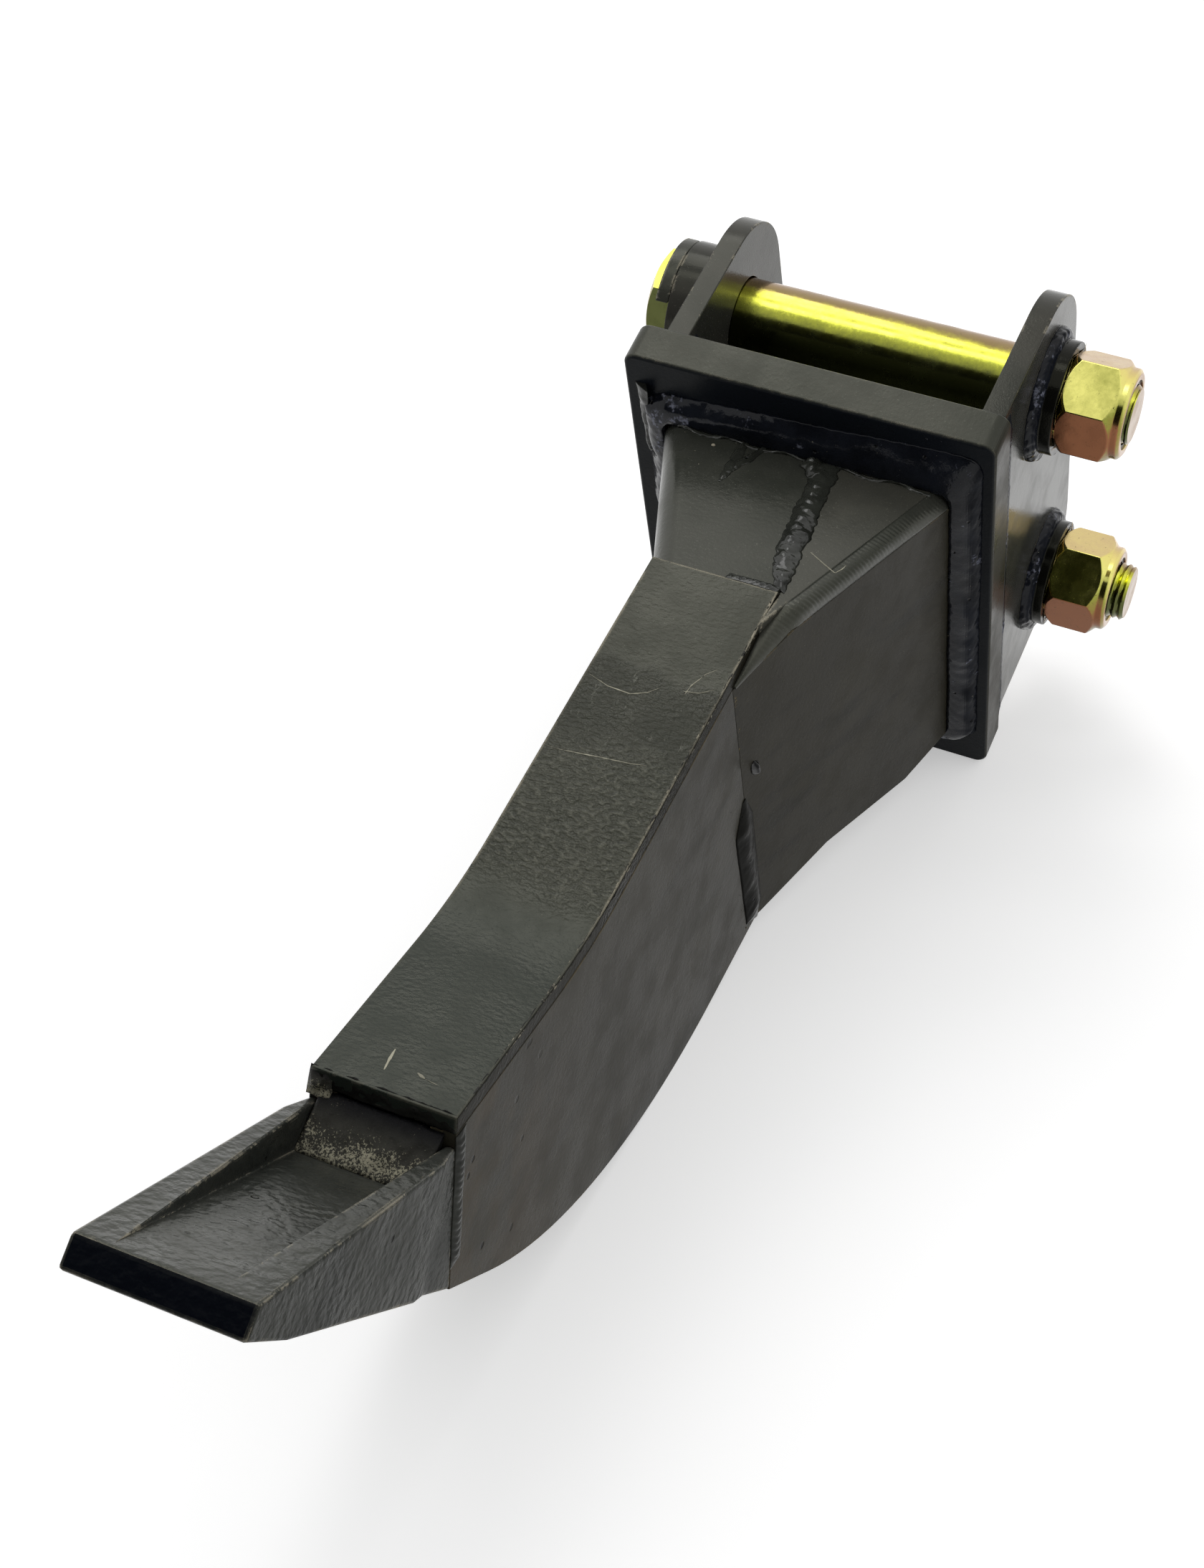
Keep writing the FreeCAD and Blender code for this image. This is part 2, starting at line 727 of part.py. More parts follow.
def make_hood(form):
    """Folded sheet: the sloping top as far as the seam, and the left wall."""
    strip = across("hood_strip", [
        ("0", hood_face("0", "sheet")),
        ("0", hood_face("0")),
        ("hood_length", hood_face("hood_length")),
        ("hood_length", hood_face("hood_length", "sheet")),
    ])
    top_plan = upright("hood_plan", [
        ("0", left_face("0")),
        ("hood_length", left_face("hood_length")),
        ("hood_length", SHANK_FACE),
        ("0", "seam_offset"),
    ])
    wall_plan = upright("left_wall_plan", [
        ("0", left_face("0")),
        ("hood_length", left_face("hood_length")),
        ("hood_length", f"-{SHANK_FACE}"),
        (LEFT_WALL_INNER_END, f"-{SHANK_FACE}"),
        ("0", left_face("0", "sheet")),
    ])
    top = combine("Common", "hood_top", strip, top_plan)
    folded = combine("Fuse", "hood_folded", top, wall_plan)
    return combine("Common", "hood_plate", form, folded)


def make_corner_plate():
    strip = across("corner_strip", [
        ("0", hood_face("0", "sheet")),
        ("0", hood_face("0")),
        (RIGHT_WALL_INNER_END, hood_face(RIGHT_WALL_INNER_END)),
        (RIGHT_WALL_INNER_END, hood_face(RIGHT_WALL_INNER_END, "sheet")),
    ])
    plan = upright("corner_plan", [
        ("0", "seam_offset"),
        ("hood_length", SHANK_FACE),
        (RIGHT_WALL_INNER_END, SHANK_FACE),
        ("0", right_face("0", "sheet")),
    ])
    return combine("Common", "hood_corner_plate", strip, plan)


def right_strip(name):
    """Plan of the right wall's thickness, ended on the shank's face."""
    return upright(name, [
        ("0", right_face("0")),
        ("0", right_face("0", "sheet")),
        (RIGHT_WALL_INNER_END, SHANK_FACE),
        (RIGHT_WALL_END, SHANK_FACE),
    ])


def make_right_wall(form):
    bend_x, bend_z, _ = front_face("front_sheet")[1]
    below_roof = across("right_wall_side_view", [
        ("0", "-plate_height"),
        ("0", hood_face("0", "sheet")),
        (roof_crossing(), hood_face(roof_crossing(), "sheet")),
        (bend_x, bend_z),
        (bend_x, "-plate_height"),
    ])
    wall = combine("Common", "right_wall_blank", below_roof, right_strip("right_wall_plan"))
    return combine("Common", "right_side_plate", form, wall)


def make_corner_weld(form):
    """The rippled bead that fills the open corner between the corner plate and the right wall."""
    bend_x, bend_z, _ = front_face("front_sheet")[1]
    above_roof = across("corner_weld_side_view", [
        ("0", hood_face("0", "sheet")),
        (roof_crossing(), hood_face(roof_crossing(), "sheet")),
        (bend_x, bend_z),
        (bend_x, "plate_height"),
        ("0", "plate_height"),
    ])
    short = upright("corner_weld_plan", [
        ("0", right_face("0")),
        ("0", right_face("0", "sheet")),
        (RIGHT_WALL_INNER_END, SHANK_FACE),
        (RIGHT_WALL_INNER_END, right_face(RIGHT_WALL_INNER_END)),
    ])
    bead = combine("Common", "corner_weld_blank", above_roof, short)
    return combine("Common", "hood_corner_weld", form, bead)


def make_cover():
    strip = across("cover_strip", COVER_LINE + COVER_INSIDE[::-1])
    plan = upright("cover_plan", [
        ("0", left_face("0", "sheet")),
        (LEFT_WALL_INNER_END, f"-{SHANK_FACE}"),
        ("cover_reach", f"-{SHANK_FACE}"),
        ("cover_reach", SHANK_FACE),
        (RIGHT_WALL_INNER_END, SHANK_FACE),
        ("0", right_face("0", "sheet")),
    ])
    return combine("Common", "back_cover_plate", strip, plan)


# Shank

def make_shank_side(name, start):
    """Side plate of the box section: curved outside, and trimmed to the housing inside it."""
    front = front_face("front_sheet")
    corners = COVER_INSIDE + [
        COVER_LINE[-1],
        BACK_BEND,
        JOINT_BOTTOM,
        front[2],
        front[1],
        front[0],
        ("hood_length", hood_face("hood_length", "sheet")),
        ("0", hood_face("0", "sheet")),
    ]
    return prism(name, "XZ", start, "side_sheet", corners)


def make_front_plate():
    """Bent wear plate over both sides, from the hood's end to the square-cut end of the shank."""
    outside = front_face()
    inside = front_face("front_sheet")
    corners = [outside[0], outside[1], outside[2], inside[2], inside[1], inside[0]]
    return prism("shank_front_plate", "XZ", f"-{SHANK_FACE}", "shank_width", corners)


def make_back_plate():
    """Bent plate let in between the sides, its back flush with theirs."""
    inner_bend = (
        f"back_bend_reach - back_sheet * sin{BACK_MIDDLE_SLOPE} / cos{BACK_HALF_TURN}",
        f"-back_bend_drop + back_sheet * cos{BACK_MIDDLE_SLOPE} / cos{BACK_HALF_TURN}",
        f"{BACK_RADIUS} - back_sheet",
    )
    inner_end = down_the_joint(f"joint_depth - back_sheet / cos{JOINT_SKEW}")
    corners = [
        COVER_LINE[-1],
        BACK_BEND,
        JOINT_BOTTOM,
        inner_end,
        inner_bend,
        ("cover_reach", f"-cover_end_drop + back_sheet / cos({BACK_FIRST_SLOPE})"),
    ]
    return prism("shank_back_plate", "XZ", f"-{CORE_FACE}", f"2 * {CORE_FACE}", corners)


# Point, drawn with its ribs along X and its neck at the origin

def tip_frame():
    x, z = down_the_joint("tip_step")
    turn = number("front_end_slope + tip_turn")
    return Placement(Vector(number(x), 0, number(z)), Rotation(Vector(0, 1, 0), -turn))


def neck_face(depth):
    """A point on the joint face, so far from the foot of the ribs."""
    return f"-({depth}) * sin(tip_turn * 1deg)", f"-({depth}) * cos(tip_turn * 1deg)"


def pocket_plan(name):
    taper = "((pocket_back_half_width - pocket_nose_half_width) / (pocket_reach - pocket_back_reach))"
    back = "(-joint_depth)"
    back_half = f"(pocket_back_half_width + {taper} * (pocket_back_reach - {back}))"
    return upright(name, [
        (back, f"-{back_half}"),
        ("pocket_reach", "-pocket_nose_half_width"),
        ("pocket_reach", "pocket_nose_half_width"),
        (back, back_half),
    ])


def make_tip():
    """Cast wedge: two ribs along the top, a pocket that deepens towards the neck, a square nose."""
    side = across("tip_side_view", [
        ("0", "0"),
        ("tip_length", "0"),
        ("tip_length + tip_nose_lean", "-tip_nose_depth"),
        ("tip_cheek_reach", "-tip_cheek_depth"),
        neck_face("joint_depth - tip_step"),
    ])
    reach = "(tip_length + tip_nose_lean)"
    half_plan = [
        ("-joint_depth", SHANK_FACE),
        ("0", SHANK_FACE),
        ("tip_neck_length", "tip_half_width"),
        (reach, "tip_nose_half_width"),
    ]
    plan = upright("tip_plan", half_plan + [(x, f"-{y}") for x, y in reversed(half_plan)])
    wedge = combine("Common", "tip_wedge", side, plan)
    slope = "(pocket_back_depth / (pocket_reach - pocket_back_reach))"
    floor = across("pocket_side_view", [
        ("pocket_reach", "0"),
        ("pocket_reach", "tip_length"),
        ("-joint_depth", "tip_length"),
        ("-joint_depth", f"-{slope} * (pocket_reach + joint_depth)"),
    ])
    pocket = combine("Common", "pocket", floor, pocket_plan("pocket_outline"))
    return combine("Cut", "tip_point", wedge, pocket)


def make_tip_weld():
    """The rough bead that slopes from under the wear plate's end down to the pocket's floor."""
    slope = "(pocket_back_depth / (pocket_reach - pocket_back_reach))"
    floor_depth = f"({slope} * pocket_reach / (cos(tip_turn * 1deg) - {slope} * sin(tip_turn * 1deg)))"
    side = across("tip_weld_side_view", [
        neck_face("front_sheet - tip_step"),
        ("pocket_weld_reach", f"-{slope} * (pocket_reach - pocket_weld_reach)"),
        neck_face(floor_depth),
    ])
    return combine("Common", "tip_weld", side, pocket_plan("tip_weld_plan"))


def make_tip_seam_welds():
    """Low beads down both sides of the shank, along its joint with the point."""
    beads = []
    for side, start in (("left", f"-{SHANK_FACE} - tip_seam_height"), ("right", SHANK_FACE)):
        top = neck_face("front_sheet - tip_step")
        low = neck_face("joint_depth - tip_step - back_sheet")
        width_x = "tip_seam_width * cos(tip_turn * 1deg)"
        width_z = "tip_seam_width * sin(tip_turn * 1deg)"
        corners = [
            top,
            low,
            (f"{low[0]} - {width_x}", f"{low[1]} + {width_z}"),
            (f"{top[0]} - {width_x}", f"{top[1]} + {width_z}"),
        ]
        beads.append(prism(f"tip_seam_{side}", "XZ", start, "tip_seam_height", corners))
    return group("tip_seam_welds", beads)


# Weld beads of the housing

def add_loft(body, name, first, second):
    """A straight-sided solid between two sketches."""
    loft = body.newObject("PartDesign::AdditiveLoft", name)
    loft.Profile = first
    loft.Sections = [second]
    loft.Ruled = True
    body.Tip = loft
    return loft


def plane_faced(name, straight):
    """The same solid with a true plane for each face, where a straight loft gives spline patches."""
    doc.recompute()
    faces = []
    for face in straight.Shape.Faces:
        corners = [vertex.Point for vertex in face.OuterWire.OrderedVertexes]
        faces.append(Part.Face(Part.makePolygon(corners + corners[:1])))
    solid = doc.addObject("Part::Feature", name)
    solid.Label = name
    solid.Shape = Part.makeSolid(Part.makeShell(faces))
    return solid


def cut_rectangle(left, right, bottom, top, corner):
    """A rectangle with its corners cut straight, each cut touching a round of the given radius."""
    cut = f"{CUT_SHARE} * {corner}"
    return [
        (f"{left} + {cut}", bottom),
        (f"{right} - {cut}", bottom),
        (right, f"{bottom} + {cut}"),
        (right, f"{top} - {cut}"),
        (f"{right} - {cut}", top),
        (f"{left} + {cut}", top),
        (left, f"{top} - {cut}"),
        (left, f"{bottom} + {cut}"),
    ]


def make_plate_weld(form):
    """Heavy fillet all round the housing where it stands on the mounting plate."""
    body = new_body("plate_weld_block")
    outer = new_sketch(body, "plate_weld_foot", "YZ", "0")
    add_outline(outer, cut_rectangle(
        f"{left_face('0')} - plate_weld_side",
        f"{right_face('0')} + plate_weld_side",
        "-cover_drop - plate_weld_side",
        "hood_height + plate_weld_top",
        "plate_weld_corner",
    ))
    run = "plate_weld_run"
    inner = new_sketch(body, "plate_weld_toe", "YZ", run)
    add_outline(inner, cut_rectangle(
        f"{left_face(run)} - weld_toe",
        f"{right_face(run)} + weld_toe",
        "-cover_drop - weld_toe",
        f"{hood_face(run)} + weld_toe",
        "plate_weld_toe_corner",
    ))
    add_loft(body, "plate_weld_loft", outer, inner)
    return combine("Cut", "plate_weld", plane_faced("plate_weld_form", body), form)


def seam_y(x):
    return f"(seam_offset + ({SHANK_FACE} - seam_offset) * ({x}) / hood_length)"


def make_seam_weld():
    """Low diagonal bead over the seam of the hood and its corner plate, as tapered in height as in width."""
    body = new_body("seam_weld_block")
    sketches = []
    for end, x in (("back", "plate_weld_run"), ("front", "(hood_length - end_weld_width)")):
        width = f"seam_weld_{end}_width"
        height = f"seam_weld_height * {width} / seam_weld_back_width"
        sketch = new_sketch(body, f"seam_weld_{end}", "YZ", x)
        corners = []
        for across_share, height_share in BEAD_PROFILE:
            y = f"{seam_y(x)} + {across_share} * {width}"
            corners.append((y, f"{hood_face(x)} + {height_share} * {height}"))
        add_outline(sketch, corners)
        sketches.append(sketch)
    add_loft(body, "seam_weld_loft", *sketches)
    return plane_faced("hood_seam_weld", body)


def make_upright_weld():
    """The bead down the line where the right wall runs out on the shank's side."""
    back = f"({RIGHT_WALL_END} - upright_weld_back)"
    crown_back = f"({RIGHT_WALL_END} - upright_weld_crown_back)"
    crown_front = f"({RIGHT_WALL_END} + upright_weld_crown_front)"
    corners = [
        (RIGHT_WALL_END, SHANK_FACE),
        (f"{RIGHT_WALL_END} + upright_weld_front", SHANK_FACE),
        (crown_front, f"{SHANK_FACE} + upright_weld_height"),
        (crown_back, f"{right_face(crown_back)} + upright_weld_height"),
        (back, right_face(back)),
    ]
    height = "upright_weld_rise + upright_weld_drop"
    return prism("side_plate_weld", "XY", "-upright_weld_drop", height, corners)


def make_end_weld():
    """The bead in the small step between the hood's end and the wear plate."""
    start = "(hood_length - end_weld_width)"
    corners = [
        (start, hood_face(start)),
        ("hood_length", hood_face("hood_length")),
        ("hood_length", FRONT_START),
    ]
    return prism("hood_end_weld", "XZ", f"{SHANK_FACE} - end_weld_length", "end_weld_length", corners)


# All pieces, each with its place in the drawing frame

def make_pieces():
    here = Placement()
    pieces = [
        (make_plate(), here),
        (make_ear("left", LEFT_EAR_OUTSIDE, LEFT_EAR_OUTSIDE, "-", make_left_boss), here),
        (make_ear("right", RIGHT_EAR_INSIDE, RIGHT_EAR_OUTSIDE, "+", make_right_boss), here),
        (make_ear_welds("left_ear_welds", LEFT_EAR_INSIDE, LEFT_EAR_OUTSIDE, "+"), here),
        (make_ear_welds("right_ear_welds", RIGHT_EAR_INSIDE, RIGHT_EAR_OUTSIDE, "-"), here),
        (group("nuts", on_both_pins(make_nut)), here),
        (group("nylon_rings", on_both_pins(make_nylon_ring)), here),
    ]
    for level in ("upper", "lower"):
        for make in (make_keeper, make_pin_bolt):
            pieces.append((make(level), pin_axis(level)))
    form = make_housing_form()
    pieces += [
        (make_hood(form), here),
        (make_corner_plate(), here),
        (make_right_wall(form), here),
        (make_cover(), here),
        (make_shank_side("shank_left_side", f"-{SHANK_FACE}"), here),
        (make_shank_side("shank_right_side", CORE_FACE), here),
        (make_front_plate(), here),
        (make_back_plate(), here),
        (make_plate_weld(form), here),
        (make_corner_weld(form), here),
        (make_seam_weld(), here),
        (make_upright_weld(), here),
        (make_end_weld(), here),
        (make_tip(), tip_frame()),
        (make_tip_weld(), tip_frame()),
        (make_tip_seam_welds(), tip_frame()),
    ]
    return pieces


# Lying on the floor

def floor_turn():
    """Tilt, in degrees, of the line that touches the plate's lower front edge and the shank's back."""
    before = Vector(number("cover_reach"), number("-cover_end_drop"), 0)
    corner = Vector(number("back_bend_reach"), number("-back_bend_drop"), 0)
    after = Vector(number(JOINT_BOTTOM[0]), number(JOINT_BOTTOM[1]), 0)
    radius = number(BACK_RADIUS)
    centre = bend(before, corner, after, radius)[2]
    edge = Vector(-number(RIM_CUT), -number("plate_height / 2"), 0)
    span = centre - edge
    return math.degrees(math.atan2(span.y, span.x) - math.asin(radius / span.Length))


def lay_down(pieces):
    """Turn every piece onto the floor and bring the middle of its footprint to the origin."""
    tipped = Placement(Vector(), Rotation(Vector(0, 1, 0), floor_turn()))
    for piece, place in pieces:
        piece.Placement = tipped.multiply(place)
    doc.recompute()
    whole = Part.makeCompound([piece.Shape for piece, _ in pieces])
    box = whole.optimalBoundingBox(True, False)
    shift = Placement(Vector(-box.Center.x, -box.Center.y, -box.ZMin), Rotation())
    for piece, place in pieces:
        piece.Placement = shift.multiply(tipped).multiply(place)
    doc.recompute()
    return box


def check(pieces):
    """Stop on any feature that failed, and on any piece that isn't whole, valid solids."""
    for item in doc.Objects:
        if "Invalid" in item.State or "Error" in item.State:
            raise RuntimeError(f"{item.Label} failed: {item.State}")
    for piece, _ in pieces:
        shape = piece.Shape
        if shape.isNull() or not shape.isValid() or not shape.Solids:
            raise RuntimeError(f"{piece.Label} has no valid solid")


def write(pieces):
    os.makedirs("parts", exist_ok=True)
    for piece, _ in pieces:
        piece.Shape.exportStep(f"parts/{piece.Label}.step")
        solids = len(piece.Shape.Solids)
        print(f"{piece.Label}: {solids} solid(s), {piece.Shape.Volume / 1000:.1f} cm3")


doc.recompute()
all_pieces = make_pieces()
doc.recompute()
check(all_pieces)
whole_box = lay_down(all_pieces)
check(all_pieces)
write(all_pieces)
print(f"box {whole_box.XLength:.1f} x {whole_box.YLength:.1f} x {whole_box.ZLength:.1f} mm")
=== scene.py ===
# %% [markdown]
# A ripper tooth for a small digger, finished for a studio picture. The steel plates come in at
# their true size and place. This lesson adds what making and handling leave on them: rippled weld
# beads, a threaded bolt end, spatter, thick dark paint that runs and chips, and yellow plating on
# the pins and nuts.

# %% Load the plates
import json
import math

import bmesh
import bpy
from mathutils import Matrix, Vector


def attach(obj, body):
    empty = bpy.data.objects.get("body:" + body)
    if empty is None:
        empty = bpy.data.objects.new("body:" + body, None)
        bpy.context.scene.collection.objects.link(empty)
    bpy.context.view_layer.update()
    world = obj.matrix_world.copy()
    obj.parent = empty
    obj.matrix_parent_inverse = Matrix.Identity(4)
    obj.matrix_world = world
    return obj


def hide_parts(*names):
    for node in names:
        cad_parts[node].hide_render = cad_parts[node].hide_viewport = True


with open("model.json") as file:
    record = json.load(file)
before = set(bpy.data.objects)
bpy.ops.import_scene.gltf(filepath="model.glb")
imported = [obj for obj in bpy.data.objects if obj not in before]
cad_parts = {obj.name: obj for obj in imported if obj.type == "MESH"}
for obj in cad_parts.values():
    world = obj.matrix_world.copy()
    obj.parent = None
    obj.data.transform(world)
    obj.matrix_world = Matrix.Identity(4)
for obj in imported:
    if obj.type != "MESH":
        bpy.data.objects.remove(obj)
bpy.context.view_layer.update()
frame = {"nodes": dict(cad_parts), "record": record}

print("pieces loaded:", len(frame["nodes"]))

# %% [markdown]
# The tooth was drawn with its mounting plate upright, and then tipped until it lay on the floor.
# Welds are easier to describe as drawn, so the first step finds how far it was tipped. The two
# pins tell: their places are known both as drawn and as laid down.

# %% From the drawing to the floor
MM = 0.001
UPPER_PIN = Vector((-62.1, 3.9, 55.1))
LOWER_PIN = Vector((-67.6, 3.9, -53.9))
mounts = {mount["name"]: Vector(mount["pos_m"]) for mount in frame["record"]["mounts"]}
laid = mounts["upper_pin"] - mounts["lower_pin"]
drawn = UPPER_PIN - LOWER_PIN
lean = math.atan2(laid.x, laid.z) - math.atan2(drawn.x, drawn.z)
turned = Matrix.Rotation(lean, 4, "Y")
HEAD = Matrix.Translation(mounts["upper_pin"] - turned @ (UPPER_PIN * MM)) @ turned @ Matrix.Scale(MM, 4)
print("the tooth leans", round(math.degrees(lean), 2), "degrees")


def at(x, y, z):
    """A point of the drawing, in millimetres, as a place in the scene."""
    return HEAD @ Vector((x, y, z))


# %% [markdown]
# The point of the tooth has a slope of its own. Its frame starts at the foot of its two ribs, with
# X along them.

# %% The point's own frame
HOOD_HEIGHT = 70.0
HOOD_SLOPE = math.tan(math.radians(18.2))
FRONT_SLOPE = math.tan(math.radians(6.8))
END_SLOPE = math.radians(23.6)
TIP_TURN = math.radians(21.9)
HOOD_LENGTH = 80.0
LEFT_HALF = 54.5
LEFT_SLOPE = math.tan(math.radians(21.3))
RIGHT_HALF = 55.4
RIGHT_SLOPE = math.tan(math.radians(15.5))
HALF_SHANK = 22.1
FRONT_STEP = 1.6
FRONT_START = HOOD_HEIGHT + HOOD_LENGTH * HOOD_SLOPE + FRONT_STEP
BEND_X = 227.0
BEND_Z = FRONT_START + (BEND_X - HOOD_LENGTH) * FRONT_SLOPE
END_X = 306.0
END_Z = BEND_Z + (END_X - BEND_X) * math.tan(END_SLOPE)
TIP_STEP = 10.6
TIP = (
    HEAD
    @ Matrix.Translation((END_X + TIP_STEP * math.sin(END_SLOPE), 0, END_Z - TIP_STEP * math.cos(END_SLOPE)))
    @ Matrix.Rotation(-(END_SLOPE + TIP_TURN), 4, "Y")
)


def hood_top(x):
    """Height of the housing's sloping top."""
    return HOOD_HEIGHT + x * HOOD_SLOPE


def left_wall(x):
    return x * LEFT_SLOPE - LEFT_HALF


def right_wall(x):
    return RIGHT_HALF - x * RIGHT_SLOPE


print("hood end", round(hood_top(HOOD_LENGTH), 2), "wear plate's end", round(END_Z, 2))

# %% [markdown]
# Materials and modifiers are both built from nodes. A few short helpers add a node, fill in its
# sockets and link what needs linking, so the lines that follow read as sums.

# %% Helpers for nodes


def node(tree, kind, *values, named=None, **settings):
    """Add a node. A value is a number or another node's socket; named ones go by socket name."""
    made = tree.nodes.new(kind)
    for key, value in settings.items():
        setattr(made, key, value)
    for key, value in list(enumerate(values)) + list((named or {}).items()):
        if isinstance(value, bpy.types.NodeSocket):
            tree.links.new(value, made.inputs[key])
        else:
            made.inputs[key].default_value = value
    return made


def sums(tree, operation, *values):
    """One step of arithmetic."""
    return node(tree, "ShaderNodeMath", *values, operation=operation).outputs[0]


def plus(tree, first, second):
    return sums(tree, "ADD", first, second)


def less(tree, first, second):
    return sums(tree, "SUBTRACT", first, second)


def times(tree, first, second):
    return sums(tree, "MULTIPLY", first, second)


def band(tree, value, low, high, start=0.0, end=1.0):
    """A soft step of a value from low to high."""
    made = node(tree, "ShaderNodeMapRange", value, low, high, start, end, interpolation_type="SMOOTHSTEP")
    return made.outputs[0]


def grain(tree, where, scale, detail, rough=0.55, spread=None):
    """Cloudy noise about 0.5, stretched where a spread is given."""
    if spread:
        where = node(tree, "ShaderNodeMapping", where, named={"Scale": spread}).outputs[0]
    made = node(
        tree, "ShaderNodeTexNoise",
        named={"Vector": where, "Scale": scale, "Detail": detail, "Roughness": rough},
    )
    return made.outputs[0]


def blend(tree, share, first, second):
    """Mix two colours."""
    made = tree.nodes.new("ShaderNodeMix")
    made.data_type = "RGBA"
    for index, value in ((0, share), (6, first), (7, second)):
        if isinstance(value, bpy.types.NodeSocket):
            tree.links.new(value, made.inputs[index])
        else:
            made.inputs[index].default_value = (*value, 1.0) if index else value
    return made.outputs[2]


def ramp(tree, value, *stops):
    """A run of colours along a value, as (place, colour) pairs."""
    made = node(tree, "ShaderNodeValToRGB", value)
    while len(made.color_ramp.elements) < len(stops):
        made.color_ramp.elements.new(0.5)
    for element, (place, colour) in zip(made.color_ramp.elements, stops):
        element.position = place
        element.color = (*colour, 1.0)
    return made.outputs[0]


def bump(tree, height, distance, strength, under=None):
    named = {"Strength": strength, "Distance": distance, "Height": height}
    if under is not None:
        named["Normal"] = under
    return node(tree, "ShaderNodeBump", named=named).outputs[0]


# %% [markdown]
# Thick enamel sprayed over mill-rough steel dries with an orange-peel skin. It chips first along
# sharp edges, where it is thinnest and where stones strike. A Bevel node sees how near an edge is:
# its softened normal differs from the true one there. Noise breaks that line into ragged chips
# with the pale primer showing.

# %% Dark enamel paint
OLIVE = (0.030, 0.032, 0.026)
OLIVE_LIGHT = (0.046, 0.047, 0.039)
# Painted shade for the mounting plate's front face.
SHADE_NAVY = (0.008, 0.010, 0.014)
PRIMER = (0.42, 0.38, 0.29)
# Painted reflection of a bluish room, for the blotches on the main weld.
REFLECTED_LILAC = (0.20, 0.21, 0.27)


def near_edge(tree, reach):
    """How near a sharp edge is, from 0 on the flat to about 1 on the edge."""
    soft = node(tree, "ShaderNodeBevel", reach, samples=6).outputs[0]
    true = node(tree, "ShaderNodeNewGeometry").outputs["True Normal"]
    product = node(tree, "ShaderNodeVectorMath", soft, true, operation="DOT_PRODUCT").outputs["Value"]
    open_air = node(tree, "ShaderNodeAmbientOcclusion", named={"Distance": 0.004}, samples=4, only_local=True)
    outer = band(tree, open_air.outputs["AO"], 0.70, 0.90)
    return times(tree, less(tree, 1.0, product), outer)


def new_material(name):
    """An empty node material, its tree, its shader and the piece's own coordinates."""
    material = bpy.data.materials.new(name)
    material.use_nodes = True
    tree = material.node_tree
    shader = tree.nodes["Principled BSDF"]
    where = tree.nodes.new("ShaderNodeTexCoord").outputs["Object"]
    return material, tree, shader, where


SHEEN = (1.0, 1.0, 0.80, 1.0)
PEEL_SIZE = 560.0


def enamel(name, dark, light, peel=0.00006, chips=0.5, speckle=0.5, gloss=0.2, level=0.25, bare=PRIMER,
           extra=None):
    """Glossy paint with mottled colour, orange peel, dust nibs and chipped edges."""
    material, tree, shader, where = new_material(name)
    cloud = grain(tree, where, 22.0, 4.0)
    colour = blend(tree, band(tree, cloud, 0.38, 0.62), dark, light)
    nibs = grain(tree, where, 1500.0, 2.0)
    dust = times(tree, band(tree, nibs, 0.66, 0.74), speckle)
    colour = blend(tree, dust, colour, tuple(min(1.0, 3.2 * share) for share in light))
    chip = 0.0
    if chips:
        ragged = less(tree, grain(tree, where, 300.0, 5.0, 0.75), 0.5)
        patches = less(tree, grain(tree, where, 42.0, 3.0, 0.6), 0.5)
        rim = sums(tree, "MINIMUM", times(tree, near_edge(tree, 0.0018), 16.0), 1.0)
        edge = plus(tree, rim, times(tree, ragged, 1.8))
        edge = plus(tree, edge, times(tree, patches, 2.2))
        shown = band(tree, edge, 1.35 - 0.6 * chips, 1.45 - 0.6 * chips)
        chip = times(tree, shown, band(tree, rim, 0.08, 0.3))
        colour = blend(tree, chip, colour, bare)
    height = grain(tree, where, PEEL_SIZE, 2.0, 0.4)
    rough = band(tree, grain(tree, where, 60.0, 3.0), 0.3, 0.7, gloss, gloss + 0.14)
    shader.inputs["Specular IOR Level"].default_value = level
    shader.inputs["Specular Tint"].default_value = SHEEN
    if extra:
        colour, height, rough = extra(tree, where, colour, height, rough, shader)
    rough = sums(tree, "MAXIMUM", rough, times(tree, chip, 0.65))
    normal = bump(tree, height, peel, 1.0)
    normal = bump(tree, less(tree, nibs, times(tree, chip, 3.0)), 0.00005, 0.7, normal)
    tree.links.new(colour, shader.inputs["Base Color"])
    tree.links.new(rough, shader.inputs["Roughness"])
    tree.links.new(normal, shader.inputs["Normal"])
    return material


def facing(tree, direction, low, high):
    """How far a face turns towards a direction, as a soft step."""
    true = node(tree, "ShaderNodeNewGeometry").outputs["True Normal"]
    unit = tuple(Vector(direction).normalized())
    turned = node(tree, "ShaderNodeVectorMath", true, unit, operation="DOT_PRODUCT").outputs["Value"]
    return band(tree, turned, low, high)


plate_paint = enamel("plate_paint", OLIVE, OLIVE_LIGHT)


RIGHT_EAR_OUTSIDE = 65.7


def black_rings(tree, where, colour, height, rough, shader):
    """The rings outside the right ear look nearly black in the photo."""
    place = node(tree, "ShaderNodeSeparateXYZ", where).outputs
    outside = at(0, RIGHT_EAR_OUTSIDE, 0).y
    ring = band(tree, place["Y"], outside + 0.0002, outside + 0.0008)
    return blend(tree, ring, colour, (0.006, 0.006, 0.005)), height, rough


ear_paint = enamel("ear_paint", (0.034, 0.035, 0.030), (0.052, 0.050, 0.043), peel=0.00002, chips=0.4,
                   gloss=0.10, level=0.14, extra=black_rings)
print("paints:", plate_paint.name, ear_paint.name)
